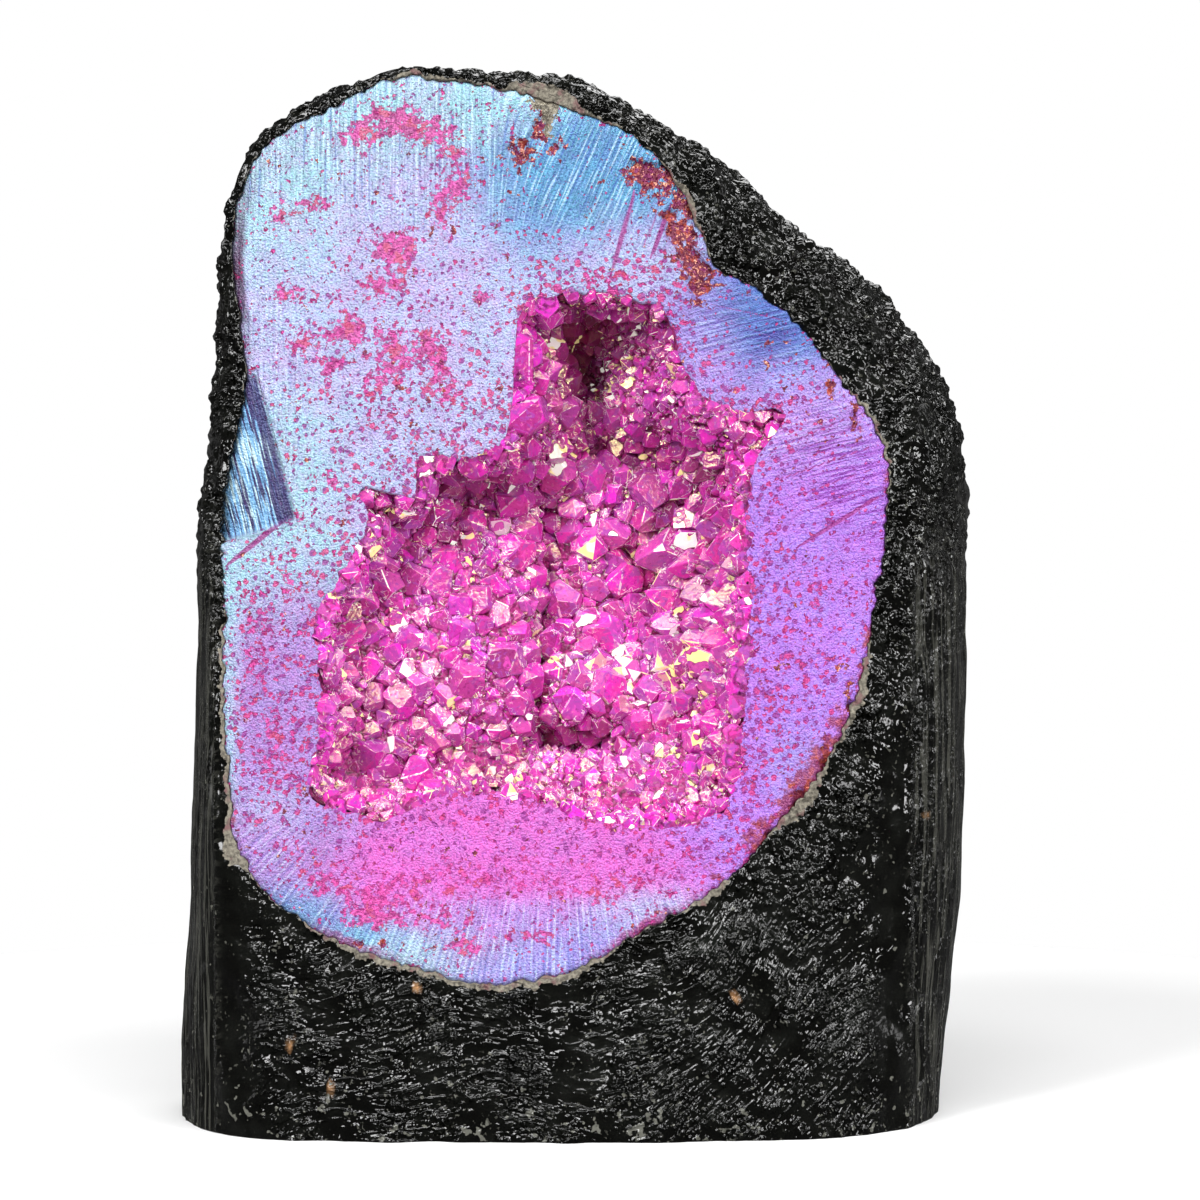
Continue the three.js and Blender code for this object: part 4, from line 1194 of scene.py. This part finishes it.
def quartz_shape(random, shank):
    """A quartz point of radius 1: its planes, and its mesh at each fineness, chamfered but for the last."""
    angles = around(6) + random.uniform(-0.08, 0.08, 6)
    sides = np.stack([np.cos(angles), np.sin(angles), 0 * angles], -1)
    side_offsets = random.uniform(0.72, 1.0, 6)
    caps = sides * math.sin(CAP_SLOPE) + np.array([0, 0, math.cos(CAP_SLOPE)])
    cap_offsets = (shank + 0.9) * math.cos(CAP_SLOPE) + random.uniform(-0.06, 0.06, 6)
    cap_offsets[random.integers(2)::2] += random.uniform(0.0, 0.26, 3)
    normals = np.concatenate([sides, caps, [[0, 0, -1]]])
    offsets = np.concatenate([side_offsets, cap_offsets, [0.0]])
    sharp = half_space_body(normals, offsets)
    corners, faces, planes = sharp
    chamfers = []
    for one, other in combinations(range(len(faces)), 2):
        if FOOT_PLANE in (planes[one], planes[other]) or len(set(faces[one]) & set(faces[other])) < 2:
            continue
        between = normals[planes[one]] + normals[planes[other]]
        between /= np.linalg.norm(between)
        chamfers.append((between, (corners @ between).max() - CHAMFER * random.uniform(0.4, 1.4)))
    all_normals = np.concatenate([normals, [normal for normal, _ in chamfers]])
    all_offsets = np.concatenate([offsets, [offset for _, offset in chamfers]])
    body = half_space_body(all_normals, all_offsets)
    meshes = [refined(*body, longest) for _, longest in FINENESS[:-1]] + [refined(*sharp, FINENESS[-1][1])]
    return normals, offsets, meshes


class Points:
    """Quartz points set in the crust, with the planes of each in face coordinates."""

    def __init__(self, random, shapes, feet, axes, width, stretch):
        self.shapes, self.feet, self.width = shapes, feet, width
        axes = axes / np.linalg.norm(axes, axis=1, keepdims=True)
        self.stretch = stretch * width[:, None] * POINT_PROPORTIONS
        side = np.cross([0, 1, 0], axes)
        side /= np.linalg.norm(side, axis=1, keepdims=True)
        up = np.cross(axes, side)
        spin = random.uniform(0, TURN, len(feet))[:, None]
        cos, sin = np.cos(spin), np.sin(spin)
        self.basis = np.stack([side * cos + up * sin, up * cos - side * sin, axes], 1)
        self.chosen = random.integers(len(shapes), size=len(feet))
        self.tone = random.uniform(0, 1, len(feet))
        normals = (array([shapes[k][0] for k in self.chosen]) / self.stretch[:, None]) @ self.basis
        length = np.linalg.norm(normals, axis=2, keepdims=True)
        self.normals = normals / length
        offsets = array([shapes[k][1] for k in self.chosen]) / length[..., 0]
        self.offsets = offsets + (self.normals * feet[:, None]).sum(-1)
        self.reach = self.stretch.max(1) * 2.2

    def joined(self, other):
        for name in vars(self).keys() - {"shapes"}:
            setattr(self, name, np.concatenate([getattr(self, name), getattr(other, name)]))
        return self

    def trimmed(self, i, level=None):
        """Point i's mesh without what lies inside its neighbours: corners, triangles, each corner's distance
        from the neighbours and height, and each triangle's plane."""
        if level is None:
            level = next(k for k, (least, _) in enumerate(FINENESS) if self.width[i] >= least)
        corners, triangles, planes = self.shapes[self.chosen[i]][2][level]
        spots = (corners * self.stretch[i]) @ self.basis[i] + self.feet[i]
        flush = spots[:, 2] < CRUST_FRONT
        spots[:, 2] = np.maximum(spots[:, 2], CRUST_FRONT)
        near = np.flatnonzero(np.linalg.norm(self.feet - self.feet[i], axis=1) < self.reach + self.reach[i])
        near = near[near != i]
        outside = spots @ self.normals[near].reshape(-1, 3).T
        outside = (outside.reshape(len(spots), len(near), -1) - self.offsets[near]).max(-1)
        buried = (outside[triangles] < -HIDDEN).all(1)
        buried[np.ix_(flush[triangles].all(1), near > i)] = False
        deep = spots[triangles][..., 2].min(1) > self.feet[i, 2] + 0.7 * self.stretch[i].max()
        kept = ~buried.any(1) & ~deep
        used, index = np.unique(triangles[kept], return_inverse=True)
        crease = np.where(flush[used], 1, np.clip(outside[used].min(1), -1, 1))
        return spots[used], index.reshape(-1, 3), crease, corners[used, 2] / corners[:, 2].max(), planes[kept]


def crust_axes(u, w, step=1.2):
    """The outward direction of the crust's surface, in face coordinates."""
    slope_u = np.clip((crust_depth(u + step, w) - crust_depth(u - step, w)) / (2 * step), -1.8, 1.8)
    slope_w = np.clip((crust_depth(u, w + step) - crust_depth(u, w - step)) / (2 * step), -1.8, 1.8)
    return np.stack([slope_u, slope_w, -np.ones(len(u))], -1)


def main_points(random, shapes):
    u, w, width = point_places(random).T
    lean = random.normal(0, POINT_LEAN, (len(u), 3)) * [1, 1, 0]
    stretch = random.uniform(0.85, 1.12, (len(u), 3))
    for area_u, area_w, reach_u, reach_w, lean_u, lean_w, longer in LEANS:
        share = humps(u, w, ((area_u, area_w, reach_u, reach_w, 1),)) * (width > 2.6)
        lean += np.stack([share * lean_u, share * lean_w, 0 * share], -1)
        stretch[:, 2] += share * longer
    feet = np.stack([u, w, crust_depth(u, w) + 0.16 * width], -1)
    return Points(random, shapes, feet, crust_axes(u, w) + lean, width, stretch)


def rim_points(random, shapes):
    direction = random.uniform(0, TURN, RIM_POINTS)
    u, w = polar(HOLLOW_CENTRE, hollow_radius(direction) + random.uniform(-0.9, 0.5, RIM_POINTS), direction)
    width = local_width(u, w) * random.uniform(0.4, 0.95, RIM_POINTS)
    depth = 0.4 + random.uniform(0, 1, RIM_POINTS) ** 1.6 * 5
    axes = np.stack([-np.cos(direction), -np.sin(direction), random.uniform(-1.2, -0.2, RIM_POINTS)], -1)
    axes += random.normal(0, 0.3, axes.shape)
    stretch = random.uniform(0.85, 1.12, (RIM_POINTS, 3))
    return Points(random, shapes, np.stack([u, w, depth], -1), axes, width, stretch)


def seam_points(random, shapes, points):
    """Small points standing in the seams where the others meet."""
    seams = []
    for i in range(len(points.feet)):
        if points.width[i] > 1.3:
            spots, _, crease, _, _ = points.trimmed(i, 1)
            seams.append(spots[(crease > -0.05) & (crease < 0.12) & (spots[:, 2] > 0.5)])
    seams = np.concatenate(seams)
    seams = seams[random.permutation(len(seams))]
    cells = np.floor(seams / SEAM_SPACING).astype(int)
    _, first = np.unique(cells, axis=0, return_index=True)
    seams = seams[np.sort(first)][:SEAM_POINTS]
    width = random.uniform(0, 1, len(seams)) ** 1.5 * 1.0 + 0.55
    axes = crust_axes(seams[:, 0], seams[:, 1]) * [0.5, 0.5, 1] + random.normal(0, 0.5, seams.shape)
    feet = seams + [0, 0, 1] * (0.35 * width)[:, None]
    return Points(random, shapes, feet, axes, width, random.uniform(0.8, 1.1, seams.shape))


def crust_part(name, pieces, material):
    """One mesh from the trimmed points of a part of the hollow."""
    columns = {key: [piece[key] for piece in pieces] for key in pieces[0]}
    starts = np.cumsum([0] + [len(spots) for spots in columns["spots"]])
    faces = np.concatenate([faces + start for faces, start in zip(columns["faces"], starts)])
    corners = to_space(*np.concatenate(columns["spots"]).T)
    part = make_object(name, corners, faces.tolist(), material, False)
    for domain, keys in (("POINT", ("crease", "rise")), ("FACE", ("facet", "tone", "dark", "edge"))):
        give(part, {key: np.concatenate(columns[key]) for key in keys}, domain=domain)
    return part


def make_crust():
    """All the quartz points, cut where they pass into one another: a mesh for each part of the hollow."""
    random = np.random.default_rng(SEED)
    shapes = [quartz_shape(random, shank) for shank in random.uniform(0.35, 0.7, SHAPES)]
    points = main_points(random, shapes).joined(rim_points(random, shapes))
    points = points.joined(seam_points(random, shapes, points))
    u, w, _ = points.feet.T
    dark, painted_glint_boost = np.clip(humps(u, w, PAINTED_SHADE_AREAS), 0, 1.1), humps(u, w, PAINTED_GLINT_AREAS)
    # Painted glints: large points outside the glint areas get none on whole facets, and the largest high in
    # the chimney get none at all.
    painted_glint_cap = np.where((points.width > 2.8) & (painted_glint_boost < 0.5), 0.94, 1)
    painted_glint_cap = np.where((points.width > 5) & (w > 117), 0.89, painted_glint_cap)
    parts = {name: [] for name, _ in CRUST_PARTS}
    for i in range(len(points.feet)):
        spots, faces, crease, rise, planes = points.trimmed(i)
        if not len(faces):
            continue
        # Each face's random tone, pushed up in the glint areas so that more faces are painted as glints.
        facet = random.uniform(0, 1, MOST_PLANES)[planes] ** (1 / (1 + 3 * painted_glint_boost[i])) * painted_glint_cap[i]
        edge = np.where(planes > FOOT_PLANE, random.uniform(0, 1, MOST_PLANES)[planes], 0)
        same = np.ones(len(faces))
        parts[next(name for name, holds in CRUST_PARTS if holds(u[i], w[i]))].append({
            "spots": spots, "faces": faces, "crease": np.clip(crease, 0, 1), "rise": rise, "facet": facet,
            "edge": edge, "tone": same * points.tone[i], "dark": same * dark[i],
        })
    material = crystal_material()
    return [crust_part(name, pieces, material) for name, pieces in parts.items()]


def make_lining():
    """The crust that the points stand on, seen only deep between them."""
    directions = around(LINING_CORNERS)
    shares = np.concatenate([[1.0, 1.0], np.linspace(0.98, 0.03, 30)])[:, None]
    u, w = polar(HOLLOW_CENTRE, (hollow_radius(directions) + 0.4) * shares, directions)
    base = crust_depth(u, w)
    depth = base - 1.0 + 0.5 * waves(to_space(u, w, base), 2.2, 71, 2)
    rear = to_space(u, w, np.maximum(base + 1.0, 2.0))[::-1]
    rings = np.concatenate([rear, to_space(u, w, np.maximum(depth, 0.5))])
    middle = crust_depth(*array(HOLLOW_CENTRE))
    poles = [to_space(*HOLLOW_CENTRE, middle + offset) for offset in (1.0, -1.0)]
    points = np.vstack([rings.reshape(-1, 3), *poles])
    return make_object("crust_lining", points, ring_faces(len(rings), LINING_CORNERS), lining_material())


# ---- Stage, lights and camera --------------------------------------------------------------------

CAMERA_DISTANCE = 1300
CAMERA_RISE = math.radians(5)
AIM = (4.0, -42.7, 90.5)  # what the middle of the picture looks at
VIEW_WIDTH = 200  # how much of the aim's plane the picture spans
SENSOR = 36
FAR_END = 20  # metres
FLOOR_RADIUS = 220
FLOOR_CORNERS = 96
PALE_GREY = (0.95, 0.95, 0.95)
# Soft lamps, in metres, as (name, place, width, height, power).
LAMPS = (
    ("key", (-0.95, -1.25, 1.25), 0.7, 0.85, 34),
    ("fill", (1.25, -1.15, 0.75), 0.5, 0.8, 20.5),
    ("top", (0.15, -0.7, 1.55), 1.0, 0.6, 16),
    ("rear", (0.3, 1.3, 1.1), 0.9, 0.6, 7),
    ("right", (1.4, 0.45, 0.5), 0.3, 0.9, 2),
    ("left", (-1.4, 0.45, 0.5), 0.3, 0.9, 1),
)
LAMP_AIM = (0, 0, 0.09)
WORLD_STRENGTH = 0.09


def turn_to(thing, direction):
    thing.rotation_euler = direction.to_track_quat("-Z", "Y").to_euler()


def make_camera():
    camera = add_object("camera", bpy.data.cameras.new("camera"))
    forward = Vector((0, math.cos(CAMERA_RISE), -math.sin(CAMERA_RISE)))
    camera.location = (Vector(AIM) - forward * CAMERA_DISTANCE) * MM
    turn_to(camera, forward)
    camera.data.sensor_width = SENSOR
    camera.data.lens = SENSOR * CAMERA_DISTANCE / VIEW_WIDTH
    camera.data.clip_end = FAR_END
    bpy.context.scene.camera = camera


def make_floor():
    """A round pale floor, left out of mirror reflections because it would turn the black paint grey."""
    paper = Shader("pale_floor").finish(Base_Color=PALE_GREY, Roughness=0.9)
    rim = polar((0, 0), FLOOR_RADIUS, around(FLOOR_CORNERS))
    corners = np.column_stack([*rim, np.zeros(FLOOR_CORNERS)])
    floor = make_object("floor", corners, [list(range(FLOOR_CORNERS))], paper)
    floor.visible_glossy = False


def make_world():
    """A world that is white to the camera and dim to everything else."""
    world = bpy.data.worlds.new("studio")
    world.use_nodes = True
    tree = world.node_tree
    dim = add_node(tree, "Background", {"Color": WHITE, "Strength": WORLD_STRENGTH})
    white = add_node(tree, "Background", {"Color": WHITE})
    seen = add_node(tree, "LightPath", {}, "Is Camera Ray")
    mixed = add_node(tree, "MixShader", {0: seen, 1: dim, 2: white})
    put(tree.nodes["World Output"].inputs["Surface"], mixed)
    bpy.context.scene.world = world


def make_lamps():
    for name, place, width, height, power in LAMPS:
        lamp = bpy.data.lights.new(name, "AREA")
        lamp.shape = "RECTANGLE"
        lamp.size, lamp.size_y = width, height
        lamp.energy = power
        holder = add_object(name, lamp)
        holder.location = place
        turn_to(holder, Vector(LAMP_AIM) - Vector(place))


# ---- Assembly ------------------------------------------------------------------------------------

bpy.context.scene.view_settings.view_transform = "Standard"
make_camera()
make_floor()
make_world()
make_lamps()

jacket = make_jacket()
wall = make_wall()
crust = make_crust() + [make_lining()]

for piece, node, slot in [
    (jacket, "cement_jacket", "black_paint"),
    (wall, "quartz_wall", "coated_face"),
] + [(part, "crystal_crust", "coated_points") for part in crust]:
    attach(piece, "root")
    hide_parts(node)
    print(piece.name, sum(len(p.vertices) - 2 for p in piece.data.polygons), "triangles")
